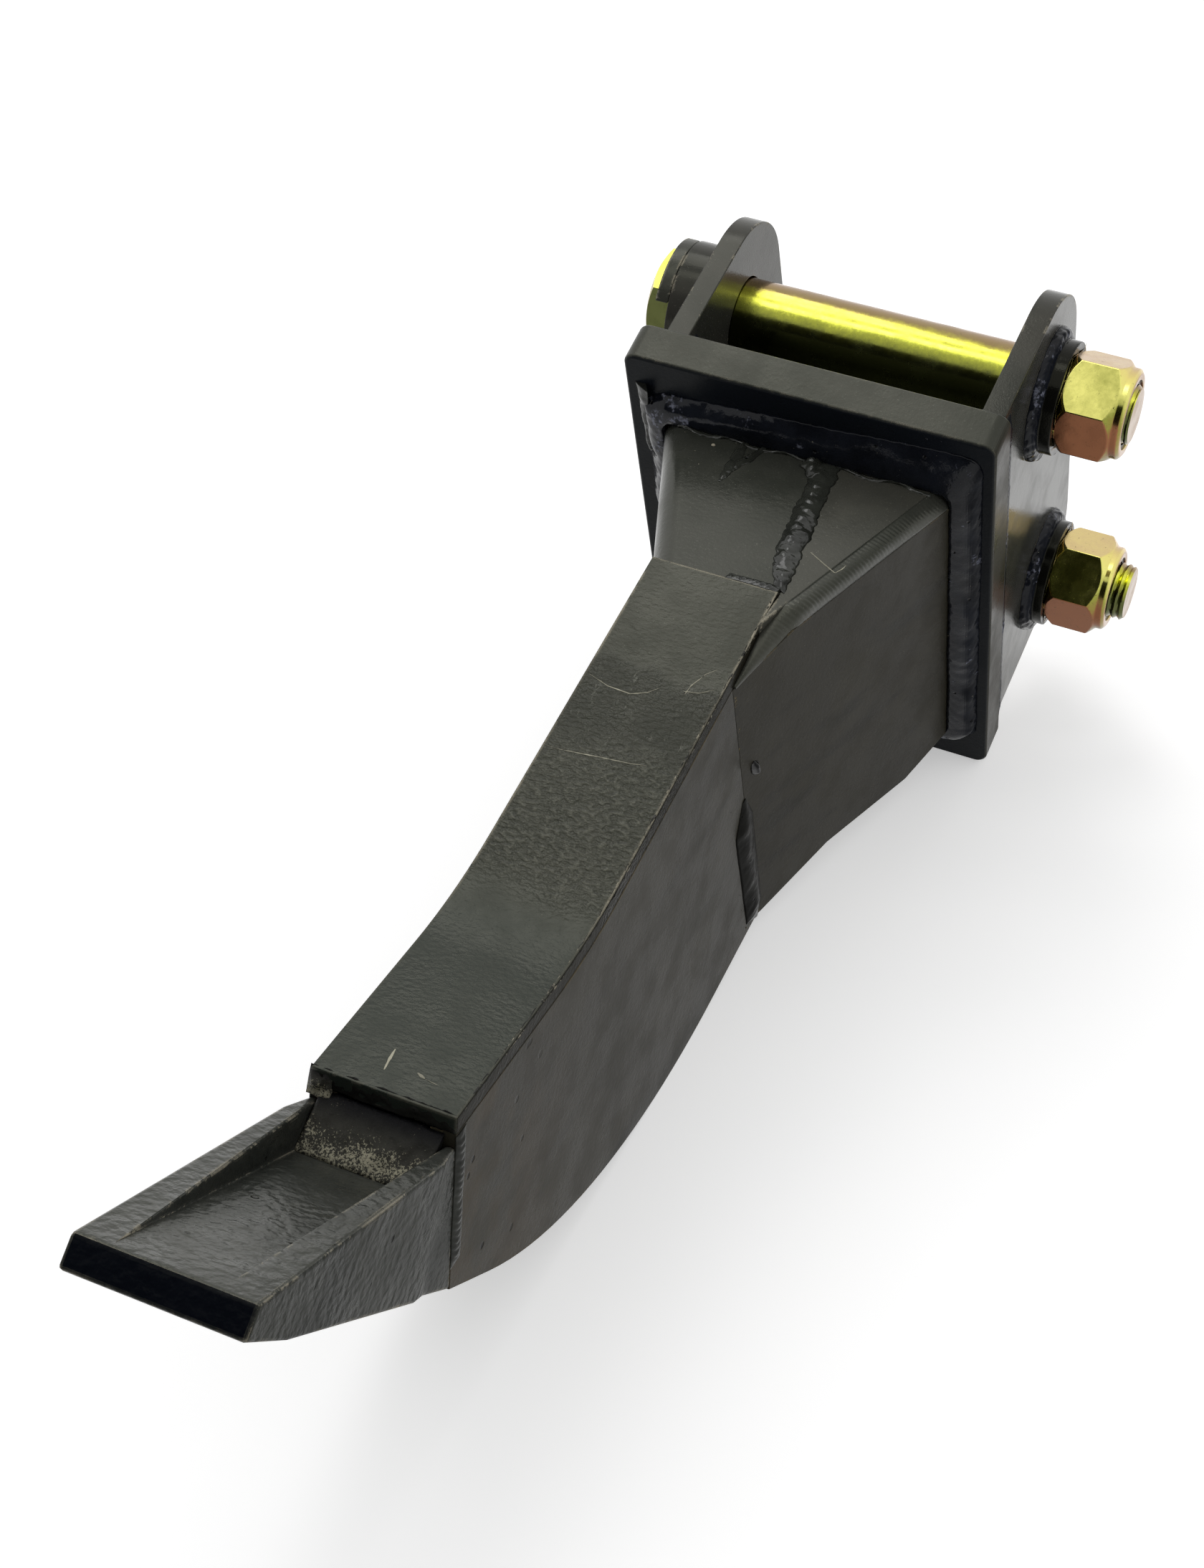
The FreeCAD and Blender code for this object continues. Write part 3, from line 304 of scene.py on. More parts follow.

# %% [markdown]
# The mounting plate's front face is painted nearly navy, and its right edge dark brown, both as
# painted shade. It may be the paint, or the room that it mirrors. Here the paint does it: the way a
# face looks is told by its own normal, and both the colour and the gloss follow that. Under other
# lamps it stays dark.

# %% Paint of the mounting plate


def painted_shade_front(tree, where, colour, height, rough, shader):
    # Painted shade: navy on faces towards the front, dark brown with less gloss on faces to the right.
    front = facing(tree, at(1, 0, 0) - at(0, 0, 0), 0.4, 0.9)
    right = facing(tree, (0, 1, 0), 0.6, 0.95)
    shaded = sums(tree, "MAXIMUM", front, right)
    colour = blend(tree, right, blend(tree, front, colour, SHADE_NAVY), (0.018, 0.016, 0.009))
    tree.links.new(band(tree, shaded, 0.0, 1.0, 0.25, 0.06), shader.inputs["Specular IOR Level"])
    return colour, height, rough


mount_paint = enamel("mount_paint", OLIVE, OLIVE_LIGHT, chips=0.62, gloss=0.26, extra=painted_shade_front)

# %% [markdown]
# The wear plate is the showpiece. From the housing down it has a fine speckle, then a darker band
# with pale curved scratches, then crinkled orange peel over the bend, and last a smooth teal-grey.
# Each zone is a soft step along the tooth, roughened with noise so that no border is straight. The
# peel's crests carry a painted highlight as well as being raised, because these lamps alone give too
# little sparkle. Faces to the right are darkened and dulled as painted shade.

# %% Paint of the wear plate


def along(x, z):
    """Distance down the tooth of a point of the drawing."""
    return at(x, 0, z).x


def wear_zones(tree, where, colour, height, rough, shader):
    place = node(tree, "ShaderNodeSeparateXYZ", where).outputs
    wander = times(tree, less(tree, grain(tree, where, 45.0, 4.0), 0.5), 0.03)
    down = plus(tree, place["X"], wander)
    scratched = times(
        tree,
        band(tree, down, along(124, 103), along(132, 104)),
        band(tree, down, along(166, 108), along(150, 106)),
    )
    peeled = times(
        tree,
        band(tree, down, along(150, 106), along(166, 108)),
        band(tree, down, along(224, 116), along(206, 113)),
    )
    smooth = band(tree, down, along(205, 113), along(240, 121))
    colour = blend(tree, times(tree, scratched, 0.6), colour, (0.010, 0.011, 0.009))
    scuffs = grain(tree, where, 240.0, 6.0, 0.8, spread=(0.5, 1.4, 1.0))
    pale = times(tree, band(tree, scuffs, 0.60, 0.66), scratched)
    colour = blend(tree, times(tree, pale, 0.45), colour, (0.20, 0.20, 0.17))
    colour = blend(tree, times(tree, smooth, 0.8), colour, (0.014, 0.020, 0.017))
    crinkle = grain(tree, where, 720.0, 3.0, 0.5, spread=(1.0, 0.6, 1.0))
    # The pale crests are a painted highlight.
    crest = times(tree, band(tree, crinkle, 0.45, 0.75), peeled)
    colour = blend(tree, times(tree, crest, 0.75), colour, (0.110, 0.110, 0.088))
    ripple = node(
        tree, "ShaderNodeTexWave", named={"Vector": where, "Scale": 38.0, "Distortion": 6.0, "Detail": 2.0},
        bands_direction="X",
    ).outputs["Fac"]
    strength = plus(tree, times(tree, peeled, 11.0), times(tree, scratched, 6.0))
    height = plus(tree, height, times(tree, crinkle, plus(tree, strength, 2.5)))
    height = plus(tree, height, times(tree, times(tree, ripple, peeled), 1.2))
    rough = times(tree, rough, less(tree, 1.0, times(tree, peeled, 0.45)))
    # Painted shade: faces to the right are darker and less glossy.
    right = facing(tree, (0, 1, 0), 0.5, 0.9)
    colour = blend(tree, right, colour, (0.014, 0.013, 0.009))
    tree.links.new(band(tree, right, 0.0, 1.0, 0.20, 0.02), shader.inputs["Specular IOR Level"])
    return colour, height, rough


wear_paint = enamel(
    "wear_paint", (0.024, 0.026, 0.020), (0.036, 0.037, 0.029), chips=1.1, speckle=0.8, level=0.2,
    extra=wear_zones,
)

# %% [markdown]
# The shank's sides carry long darker runs of paint, and towards the point a brown bloom with a few
# black pits. They get little gloss, because they look dull on the photo's shaded side.

# %% Paint of the shank's sides


def side_streaks(tree, where, colour, height, rough, shader):
    place = node(tree, "ShaderNodeSeparateXYZ", where).outputs
    long = grain(tree, where, 60.0, 4.0, 0.6, spread=(0.10, 1.0, 1.0))
    streak = times(tree, band(tree, long, 0.56, 0.70), 0.5)
    colour = blend(tree, streak, colour, (0.012, 0.012, 0.010))
    bloom = band(tree, place["X"], along(230, 100), along(300, 120))
    patchy = band(tree, grain(tree, where, 38.0, 4.0), 0.42, 0.62)
    colour = blend(tree, times(tree, times(tree, bloom, patchy), 0.6), colour, (0.058, 0.043, 0.024))
    # The pits are painted black as well as sunk: painted shade inside them.
    pits = node(tree, "ShaderNodeTexVoronoi", named={"Vector": where, "Scale": 80.0}).outputs["Distance"]
    rare = band(tree, grain(tree, where, 30.0, 2.0), 0.50, 0.60)
    pit = times(tree, times(tree, band(tree, pits, 0.13, 0.07), bloom), rare)
    colour = blend(tree, pit, colour, (0.003, 0.003, 0.003))
    height = less(tree, height, times(tree, pit, 4.0))
    return colour, height, rough


side_paint = enamel(
    "side_paint", (0.028, 0.0255, 0.0185), (0.035, 0.032, 0.023), chips=0.55, level=0.03, gloss=0.2,
    bare=(0.15, 0.12, 0.07), extra=side_streaks,
)

# %% [markdown]
# The point is a casting. Its skin has a cross-grain, small holes, and paint that dried in gentle
# waves.

# %% Paint of the cast point


def cast_skin(tree, where, colour, height, rough, shader):
    across = grain(tree, where, 320.0, 3.0, 0.6, spread=(2.2, 0.35, 1.0))
    waves = grain(tree, where, 330.0, 2.0, 0.4)
    # The holes are painted black as well as sunk: painted shade inside them.
    holes = node(tree, "ShaderNodeTexVoronoi", named={"Vector": where, "Scale": 85.0}).outputs["Distance"]
    hole = band(tree, holes, 0.11, 0.06)
    colour = blend(tree, hole, colour, (0.003, 0.003, 0.003))
    smears = band(tree, grain(tree, where, 90.0, 3.0, 0.6, spread=(1.0, 1.0, 0.3)), 0.45, 0.7)
    colour = blend(tree, times(tree, smears, 0.4), colour, (0.040, 0.041, 0.034))
    # Painted shade: the nose, facing out and down, is near-black navy and loses most of its gloss.
    nose_shade = facing(tree, NOSE_OUT, 0.85, 0.97)
    colour = blend(tree, nose_shade, colour, (0.004, 0.005, 0.008))
    right = facing(tree, (0, 1, 0), 0.5, 0.9)
    level = less(tree, 0.28, times(tree, right, 0.24))
    level = times(tree, level, less(tree, 1.0, times(tree, nose_shade, 0.9)))
    tree.links.new(level, shader.inputs["Specular IOR Level"])
    shape = plus(tree, times(tree, across, 1.0), times(tree, waves, 11.0))
    shape = less(tree, shape, times(tree, hole, 5.0))
    return colour, plus(tree, height, shape), rough


NOSE_OUT = TIP @ Vector((0.913, 0.0, 0.408)) - TIP @ Vector()
cast_paint = enamel(
    "cast_paint", (0.022, 0.024, 0.021), (0.038, 0.040, 0.035), chips=0.75, speckle=0.4, gloss=0.24,
    extra=cast_skin,
)

# %% [markdown]
# Painted weld metal is nearly black, with pale blotches and beige specks, which may be bloomed paint
# and chipped slag. On the main weld the blotches are pale bluish, a painted reflection of a bluish
# room. Faces to the right lose their gloss, as a shaded side does.
# The hood's triangular plate should look as light as the hood, but these lamps leave it darker, so
# its coat is lightened as painted light.

# %% Paint on the welds


def weld_finish(name, dark, bloom, blotches=0.5, specks=0.5, gloss=0.14, level=0.3):
    material, tree, shader, where = new_material(name)
    cloud = grain(tree, where, 70.0, 5.0, 0.6)
    colour = blend(tree, band(tree, cloud, 0.35, 0.65), dark, tuple(2.0 * share for share in dark))
    blotch = band(tree, grain(tree, where, 55.0, 5.0, 0.72), 0.70 - 0.14 * blotches, 0.78 - 0.14 * blotches)
    fleck = band(tree, grain(tree, where, 520.0, 2.0), 0.45, 0.6)
    # On the main weld the blotch colour is a painted reflection.
    colour = blend(tree, times(tree, blotch, fleck), colour, bloom)
    speck = band(tree, grain(tree, where, 900.0, 3.0, 0.7), 0.78 - 0.12 * specks, 0.82 - 0.12 * specks)
    colour = blend(tree, speck, colour, PRIMER)
    # The holes are painted black as well as sunk: painted shade inside them.
    holes = node(tree, "ShaderNodeTexVoronoi", named={"Vector": where, "Scale": 130.0}).outputs["Distance"]
    hole = band(tree, holes, 0.10, 0.05)
    colour = blend(tree, hole, colour, (0.002, 0.002, 0.002))
    rough = band(tree, blotch, 0.0, 1.0, gloss, 0.55)
    height = less(tree, grain(tree, where, 300.0, 3.0, 0.55), times(tree, hole, 2.0))
    tree.links.new(colour, shader.inputs["Base Color"])
    tree.links.new(rough, shader.inputs["Roughness"])
    tree.links.new(bump(tree, height, 0.00022, 0.9), shader.inputs["Normal"])
    right = facing(tree, (0, 1, 0), 0.3, 0.8)
    tree.links.new(band(tree, right, 0.0, 1.0, level, 0.15 * level), shader.inputs["Specular IOR Level"])
    return material


def slag_finish(name):
    """Rough weld that goes from near black under the plate, a painted shade, to bare beige grit at the
    pocket's floor.
    """
    material, tree, shader, where = new_material(name)
    share = node(tree, "ShaderNodeAttribute", attribute_name="share").outputs["Fac"]
    grit = grain(tree, where, 1300.0, 4.0, 0.75)
    patchy = times(tree, less(tree, grain(tree, where, 160.0, 3.0), 0.5), 0.5)
    limit = plus(tree, band(tree, share, 0.20, 0.80, 0.70, 0.47), patchy)
    pale = band(tree, less(tree, grit, limit), 0.0, 0.05)
    # Painted shade: near black at the top, under the plate.
    colour = blend(tree, band(tree, share, 0.05, 0.5), (0.003, 0.003, 0.004), (0.035, 0.034, 0.027))
    colour = blend(tree, pale, colour, (0.36, 0.34, 0.25))
    tree.links.new(colour, shader.inputs["Base Color"])
    tree.links.new(band(tree, pale, 0.0, 1.0, 0.4, 0.8), shader.inputs["Roughness"])
    tree.links.new(bump(tree, grit, 0.0004, 1.0), shader.inputs["Normal"])
    shader.inputs["Specular IOR Level"].default_value = 0.15
    return material


weld_paint = weld_finish("weld_paint", (0.006, 0.007, 0.010), REFLECTED_LILAC, blotches=0.9, level=0.2)
seam_paint = weld_finish("seam_paint", (0.016, 0.017, 0.014), (0.08, 0.08, 0.065), blotches=0.2, specks=0.25)
upright_paint = weld_finish(
    "upright_paint", (0.009, 0.009, 0.008), (0.03, 0.03, 0.026), blotches=0.3, specks=0.0, level=0.06,
)
wet_paint = weld_finish(
    "wet_paint", (0.004, 0.004, 0.004), (0.01, 0.01, 0.01), blotches=0.0, specks=0.0, gloss=0.05, level=0.6,
)
rough_weld_paint = slag_finish("rough_weld_paint")
edge_paint = weld_finish("edge_paint", (0.012, 0.012, 0.009), PRIMER, blotches=1.4, specks=1.1, level=0.2)
# Lightened as painted light.
corner_paint_and_light = enamel("corner_paint_and_light", (0.048, 0.048, 0.040), (0.062, 0.061, 0.050), chips=0.3)
ridge_paint = enamel("ridge_paint", OLIVE, OLIVE_LIGHT, chips=0.0)
bare_primer = weld_finish("bare_primer", (0.22, 0.21, 0.16), (0.3, 0.3, 0.25), gloss=0.5, level=0.2)
print("weld finishes:", weld_paint.name, seam_paint.name, rough_weld_paint.name)

# %% [markdown]
# Yellow passivated zinc is a thin clear film over bright metal, lemon, olive, pink or brown by its
# thickness. Each side of a pin looks a colour of its own, so here the run of colours follows the way a
# face looks, and two noises break it up. This is painted light: the bright lemon band is a painted
# highlight, and the browns and olives around it, darkest on the underside and the ends, are painted
# shade. It suits one view only: seen from behind, the pins turn brown, where real plating would stay
# yellow. A finer noise scuffs it.

# %% Plating and nylon


def plating(name, stops, end_shade_colour, scuff=0.4, size=60.0):
    """Painted light and shade over plated metal, from the back and top round to the front and underside."""
    material, tree, shader, where = new_material(name)
    geometry = node(tree, "ShaderNodeNewGeometry").outputs["Normal"]

    def towards(x, z):
        made = node(tree, "ShaderNodeVectorMath", geometry, (x, 0.0, z), operation="DOT_PRODUCT")
        return made.outputs["Value"]

    # Painted light: how far a face turns towards the back and top picks its colour.
    painted_light_share = plus(tree, times(tree, towards(0.891, -0.454), 0.5), 0.5)
    drift = less(tree, grain(tree, where, size, 4.0, 0.65), 0.5)
    fine = less(tree, grain(tree, where, size * 9, 4.0, 0.7), 0.5)
    painted_light_share = plus(tree, painted_light_share, times(tree, drift, 0.22))
    painted_light_share = plus(tree, painted_light_share, times(tree, fine, 0.14))
    colour = ramp(tree, painted_light_share, *stops)
    # Painted shade on the underside.
    under = band(tree, towards(0.454, 0.891), 0.0, -0.4)
    colour = blend(tree, under, colour, (0.16, 0.12, 0.05))
    sideways = node(tree, "ShaderNodeSeparateXYZ", geometry).outputs["Y"]
    # Painted shade on the ends, which face sideways.
    ends = band(tree, sums(tree, "ABSOLUTE", sideways), 0.75, 0.95)
    colour = blend(tree, ends, colour, end_shade_colour)
    dull = times(tree, band(tree, grain(tree, where, 700.0, 4.0, 0.7), 0.60, 0.72), scuff)
    colour = blend(tree, dull, colour, (0.08, 0.07, 0.03))
    rough = band(tree, grain(tree, where, 120.0, 4.0), 0.35, 0.7, 0.14, 0.30)
    tree.links.new(colour, shader.inputs["Base Color"])
    tree.links.new(plus(tree, rough, times(tree, dull, 0.3)), shader.inputs["Roughness"])
    tree.links.new(bump(tree, grain(tree, where, 900.0, 3.0), 0.00002, 0.7), shader.inputs["Normal"])
    shader.inputs["Metallic"].default_value = 1.0
    return material


def black_nylon(name):
    material, tree, shader, where = new_material(name)
    cloud = grain(tree, where, 300.0, 4.0)
    colour = blend(tree, cloud, (0.004, 0.004, 0.005), (0.018, 0.020, 0.026))
    tree.links.new(colour, shader.inputs["Base Color"])
    tree.links.new(band(tree, cloud, 0.3, 0.7, 0.22, 0.42), shader.inputs["Roughness"])
    tree.links.new(bump(tree, cloud, 0.0001, 0.6), shader.inputs["Normal"])
    return material


pin_plating_and_light = plating(
    "pin_plating_and_light",
    (
        (0.05, (0.34, 0.20, 0.12)), (0.30, (0.30, 0.22, 0.09)), (0.42, (0.52, 0.50, 0.06)),
        (0.52, (0.84, 0.86, 0.10)), (0.62, (0.34, 0.36, 0.05)), (0.78, (0.09, 0.10, 0.035)),
    ),
    (0.34, 0.22, 0.12),
)
nut_plating_and_light = plating(
    "nut_plating_and_light",
    (
        (0.08, (0.55, 0.36, 0.22)), (0.40, (0.80, 0.68, 0.22)), (0.58, (0.82, 0.78, 0.22)),
        (0.74, (0.26, 0.27, 0.05)), (0.92, (0.24, 0.10, 0.05)),
    ),
    (0.42, 0.27, 0.16), scuff=0.5, size=48.0,
)
nylon = black_nylon("black_nylon")
print("plated:", pin_plating_and_light.name, nut_plating_and_light.name)

# %% [markdown]
# A cut or cast plate never has a razor edge. A copy of each plate is made one clean mesh, its edges
# get a fine bevel, and its shading is weighted by the size of each face, so that flats stay flat
# and the bevel catches a thin line of light.

# %% Plates with broken edges


def plain_mesh(carrier, name):
    """The carrier's shape with its modifiers worked in, as a mesh of its own."""
    graph = bpy.context.evaluated_depsgraph_get()
    mesh = bpy.data.meshes.new_from_object(carrier.evaluated_get(graph))
    carrier.modifiers.clear()
    carrier.data = mesh
    mesh.name = name
    return carrier


def new_object(name, mesh):
    made = bpy.data.objects.new(name, mesh)
    bpy.context.scene.collection.objects.link(made)
    return made


def finished(piece, slot, *stands_for):
    """Tie a finished piece to the tooth."""
    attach(piece, "root")
    if stands_for:
        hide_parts(*stands_for)
    return piece


CREASE_TURN = math.radians(35.0)
RIM_TURN = math.radians(28.0)


def crease(shape):
    """Smooth faces, with a hard line wherever they turn by more than an angle."""
    for edge in shape.edges:
        turned = edge.calc_face_angle(0.0) if len(edge.link_faces) == 2 else 0.0
        edge.smooth = turned < CREASE_TURN


def dressed(name, material, slot, rim):
    """A copy of one plate with softened edges and a finish."""
    mesh = frame["nodes"][name].data.copy()
    mesh.materials.clear()
    mesh.materials.append(material)
    shape = bmesh.new()
    shape.from_mesh(mesh)
    bmesh.ops.remove_doubles(shape, verts=shape.verts, dist=0.000002)
    bmesh.ops.dissolve_limit(shape, angle_limit=math.radians(0.2), verts=shape.verts, edges=shape.edges)
    for face in shape.faces:
        face.smooth = True
    if not rim:
        crease(shape)
    shape.to_mesh(mesh)
    shape.free()
    piece = new_object(name + "_finish", mesh)
    if rim:
        bevel = piece.modifiers.new("rim", "BEVEL")
        bevel.width = rim
        bevel.segments = 2
        bevel.limit_method = "ANGLE"
        bevel.angle_limit = RIM_TURN
        bevel.use_clamp_overlap = False
    weighted = piece.modifiers.new("shading", "WEIGHTED_NORMAL")
    weighted.weight = 60
    weighted.keep_sharp = True
    plain_mesh(piece, name + "_finish")
    return finished(piece, slot, name)


SHEET_RIM = 0.0004
CAST_RIM = 0.0012
for name, material, slot, rim in (
    ("mounting_plate", mount_paint, "paint", SHEET_RIM),
    ("left_ear", ear_paint, "paint", SHEET_RIM),
    ("right_ear", ear_paint, "paint", SHEET_RIM),
    ("upper_keeper", plate_paint, "paint", SHEET_RIM),
    ("lower_keeper", plate_paint, "paint", SHEET_RIM),
    ("hood_plate", plate_paint, "paint", SHEET_RIM),
    ("hood_corner_plate", corner_paint_and_light, "paint", SHEET_RIM),
    ("right_side_plate", side_paint, "paint", SHEET_RIM),
    ("back_cover_plate", plate_paint, "paint", SHEET_RIM),
    ("shank_left_side", side_paint, "paint", SHEET_RIM),
    ("shank_right_side", side_paint, "paint", SHEET_RIM),
    ("shank_front_plate", wear_paint, "paint", SHEET_RIM),
    ("shank_back_plate", plate_paint, "paint", SHEET_RIM),
    ("tip_point", cast_paint, "cast_paint", CAST_RIM),
    ("nuts", nut_plating_and_light, "yellow_plating", SHEET_RIM),
    ("nylon_rings", nylon, "nylon", 0.0),
):
    piece = dressed(name, material, slot, rim)
    print(piece.name, len(piece.data.polygons), "faces")

# %% [markdown]
# Each pin bolt is a plain bar with a hexagon head and a cut thread. The head is kept from the
# shape that came in. The thread is one grid wound round the bar, whose radius follows a helix, so
# that its crests climb as they do on a real bolt.

# %% Pin bolts
HEAD_SEAT = -72.0
PIN_RADIUS = 15.0
THREAD_RADIUS = 11.0
THREAD_PITCH = 2.5
THREAD_DEPTH = 1.1
ROUND = 96


def skin(shape, rings):
    """Faces between rings of points, and a cap at each end."""
    loops = [[shape.verts.new(point) for point in ring] for ring in rings]
    for first, second in zip(loops, loops[1:]):
        for i in range(len(first)):
            j = (i + 1) % len(first)
            shape.faces.new((first[i], first[j], second[j], second[i]))
    shape.faces.new(loops[0][::-1])
    shape.faces.new(loops[-1])


def ring_of(centre, y, radius):
    """A ring of points about a pin's axis; the radius may be a function of the turn."""
    points = []
    for i in range(ROUND):
        turn = 2 * math.pi * i / ROUND
        reach = radius(turn) if callable(radius) else radius
        points.append(at(centre.x + reach * math.cos(turn), y, centre.z + reach * math.sin(turn)))
    return points


def thread_ring(centre, y, end):
    """One ring of the cut thread, run out into the bevel at the bolt's end."""
    bevel = max(0.0, 1.2 - (end - y))

    def radius(turn):
        share = (y / THREAD_PITCH - turn / (2 * math.pi)) % 1.0
        return min(THREAD_RADIUS - THREAD_DEPTH * abs(2 * share - 1), THREAD_RADIUS - bevel)
    return ring_of(centre, y, radius)


def pin_bolt(level, centre, seat, end):
    shape = bmesh.new()
    shape.from_mesh(frame["nodes"][f"{level}_pin_bolt"].data)
    bmesh.ops.remove_doubles(shape, verts=shape.verts, dist=0.000002)
    cut = bmesh.ops.bisect_plane(
        shape, geom=shape.verts[:] + shape.edges[:] + shape.faces[:], plane_co=at(0, HEAD_SEAT + 0.3, 0),
        plane_no=(0, 1, 0), clear_outer=True,
    )
    rim = [item for item in cut["geom_cut"] if isinstance(item, bmesh.types.BMEdge)]
    bmesh.ops.holes_fill(shape, edges=rim)
    shoulder = seat - 1.0
    skin(shape, [ring_of(centre, y, PIN_RADIUS) for y in (HEAD_SEAT, shoulder)])
    steps = int((end - shoulder) / (THREAD_PITCH / 8))
    skin(shape, [thread_ring(centre, shoulder + (end - shoulder) * i / steps, end) for i in range(steps + 1)])
    bmesh.ops.recalc_face_normals(shape, faces=shape.faces)
    for face in shape.faces:
        face.smooth = len(face.verts) == 4
    mesh = bpy.data.meshes.new(f"{level}_pin_bolt_finish")
    crease(shape)
    shape.to_mesh(mesh)
    shape.free()
    mesh.materials.clear()
    mesh.materials.append(pin_plating_and_light)
    return finished(new_object(mesh.name, mesh), "yellow_plating", f"{level}_pin_bolt")


for level, centre, seat, end in (("upper", UPPER_PIN, 74.1, 98.8), ("lower", LOWER_PIN, 73.2, 102.4)):
    piece = pin_bolt(level, centre, seat, end)
    print(piece.name, len(piece.data.polygons), "faces")

# %% [markdown]
# A weld bead is laid drop by drop, and each drop freezes as a crescent over the last. Every bead
# here follows the same rule, so one Geometry Nodes tree makes them all. It starts from a plain
# strip between two edges, which carries how far along and across it each point lies, and lifts it
# into a crown with ripples, lumps and a wavering border.

# %% A tree for weld beads
ACROSS = 14
BEAD_INPUTS = (
    ("Crown", 0.002), ("Pitch", 0.0022), ("Ripple", 0.0004), ("Lumps", 0.0008), ("Lump Size", 0.009),
    ("Waver", 0.0006), ("Seed", 0.0),
)


def attribute(tree, name, kind="FLOAT"):
    made = node(tree, "GeometryNodeInputNamedAttribute", name, data_type=kind)
    return next(socket for socket in made.outputs if socket.enabled)


def bead_tree():
    tree = bpy.data.node_groups.new("weld_bead", "GeometryNodeTree")
    face = tree.interface
    face.new_socket("Geometry", in_out="INPUT", socket_type="NodeSocketGeometry")
    for name, value in BEAD_INPUTS:
        face.new_socket(name, in_out="INPUT", socket_type="NodeSocketFloat").default_value = value
    face.new_socket("Finish", in_out="INPUT", socket_type="NodeSocketMaterial")
    face.new_socket("Geometry", in_out="OUTPUT", socket_type="NodeSocketGeometry")
    given = tree.nodes.new("NodeGroupInput").outputs
    run = attribute(tree, "run")
    share = attribute(tree, "share")
    out = attribute(tree, "out", "FLOAT_VECTOR")
    side = attribute(tree, "side", "FLOAT_VECTOR")
    place = tree.nodes.new("GeometryNodeInputPosition").outputs[0]
    bow = sums(tree, "SINE", times(tree, share, math.pi))
    phase = less(tree, sums(tree, "DIVIDE", run, given["Pitch"]), times(tree, bow, 0.9))
    crest = sums(tree, "ABSOLUTE", sums(tree, "SINE", times(tree, phase, math.pi)))

    def cloud(size, detail, shift):
        made = node(
            tree, "ShaderNodeTexNoise", noise_dimensions="4D",
            named={"Vector": place, "W": plus(tree, given["Seed"], shift),
                   "Scale": sums(tree, "DIVIDE", 1.0, size), "Detail": detail},
        )
        return less(tree, made.outputs[0], 0.5)

    lump = times(tree, cloud(given["Lump Size"], 2.0, 0.0), times(tree, given["Lumps"], 2.5))
    height = plus(tree, given["Crown"], lump)
    height = plus(tree, height, times(tree, given["Ripple"], crest))
    height = times(tree, height, bow)
    stray = times(tree, cloud(given["Lump Size"], 3.0, 7.0), 2.4)
    nudge = times(tree, less(tree, crest, 0.5), 0.3)
    spread = times(tree, given["Waver"], plus(tree, nudge, stray))
    spread = times(tree, spread, times(tree, less(tree, share, 0.5), 2.0))
    lift = node(tree, "ShaderNodeVectorMath", out, operation="SCALE", named={"Scale": height}).outputs[0]
    shove = node(tree, "ShaderNodeVectorMath", side, operation="SCALE", named={"Scale": spread}).outputs[0]
    move = node(tree, "ShaderNodeVectorMath", lift, shove, operation="ADD").outputs[0]
    moved = node(tree, "GeometryNodeSetPosition", named={"Geometry": given["Geometry"], "Offset": move})
    whole = node(tree, "GeometryNodeRealizeInstances", moved.outputs[0]).outputs[0]
    made = node(tree, "GeometryNodeSetMaterial", named={"Geometry": whole, "Material": given["Finish"]})
    tree.links.new(made.outputs[0], tree.nodes.new("NodeGroupOutput").inputs[0])
    return tree


weld_tree = bead_tree()
print("bead tree:", len(weld_tree.nodes), "nodes")

# %% [markdown]
# The strip itself is a long closed prism: its face runs from the first edge to the second, and its
# root lies inside the corner that the weld fills. Stations are close enough to carry the ripples.

# %% From two edges to a bead
STATION = 0.00045


def stations(edges, closed):
    """Matching places along several edges of as many points, evenly spaced on their middle line."""
    runs = [edge + edge[:1] if closed else edge for edge in edges]
    middle = [(a + b) / 2 for a, b in zip(runs[0], runs[1])]
    lengths = [0.0]
    for first, second in zip(middle, middle[1:]):
        lengths.append(lengths[-1] + (second - first).length)
    count = max(8, int(lengths[-1] / STATION))
    places = []
    step = 0
    for i in range(count):
        target = lengths[-1] * i / (count if closed else count - 1)
        while step < len(middle) - 2 and lengths[step + 1] < target:
            step += 1
        share = (target - lengths[step]) / (lengths[step + 1] - lengths[step])
        places.append([run[step].lerp(run[step + 1], share) for run in runs])
    return places, lengths[-1]


def set_inputs(modifier, tree, values):
    """Set a modifier's inputs by the identifiers of their sockets."""
    for item in tree.interface.items_tree:
        if item.in_out == "INPUT" and item.name in values:
            modifier[item.identifier] = values[item.name]


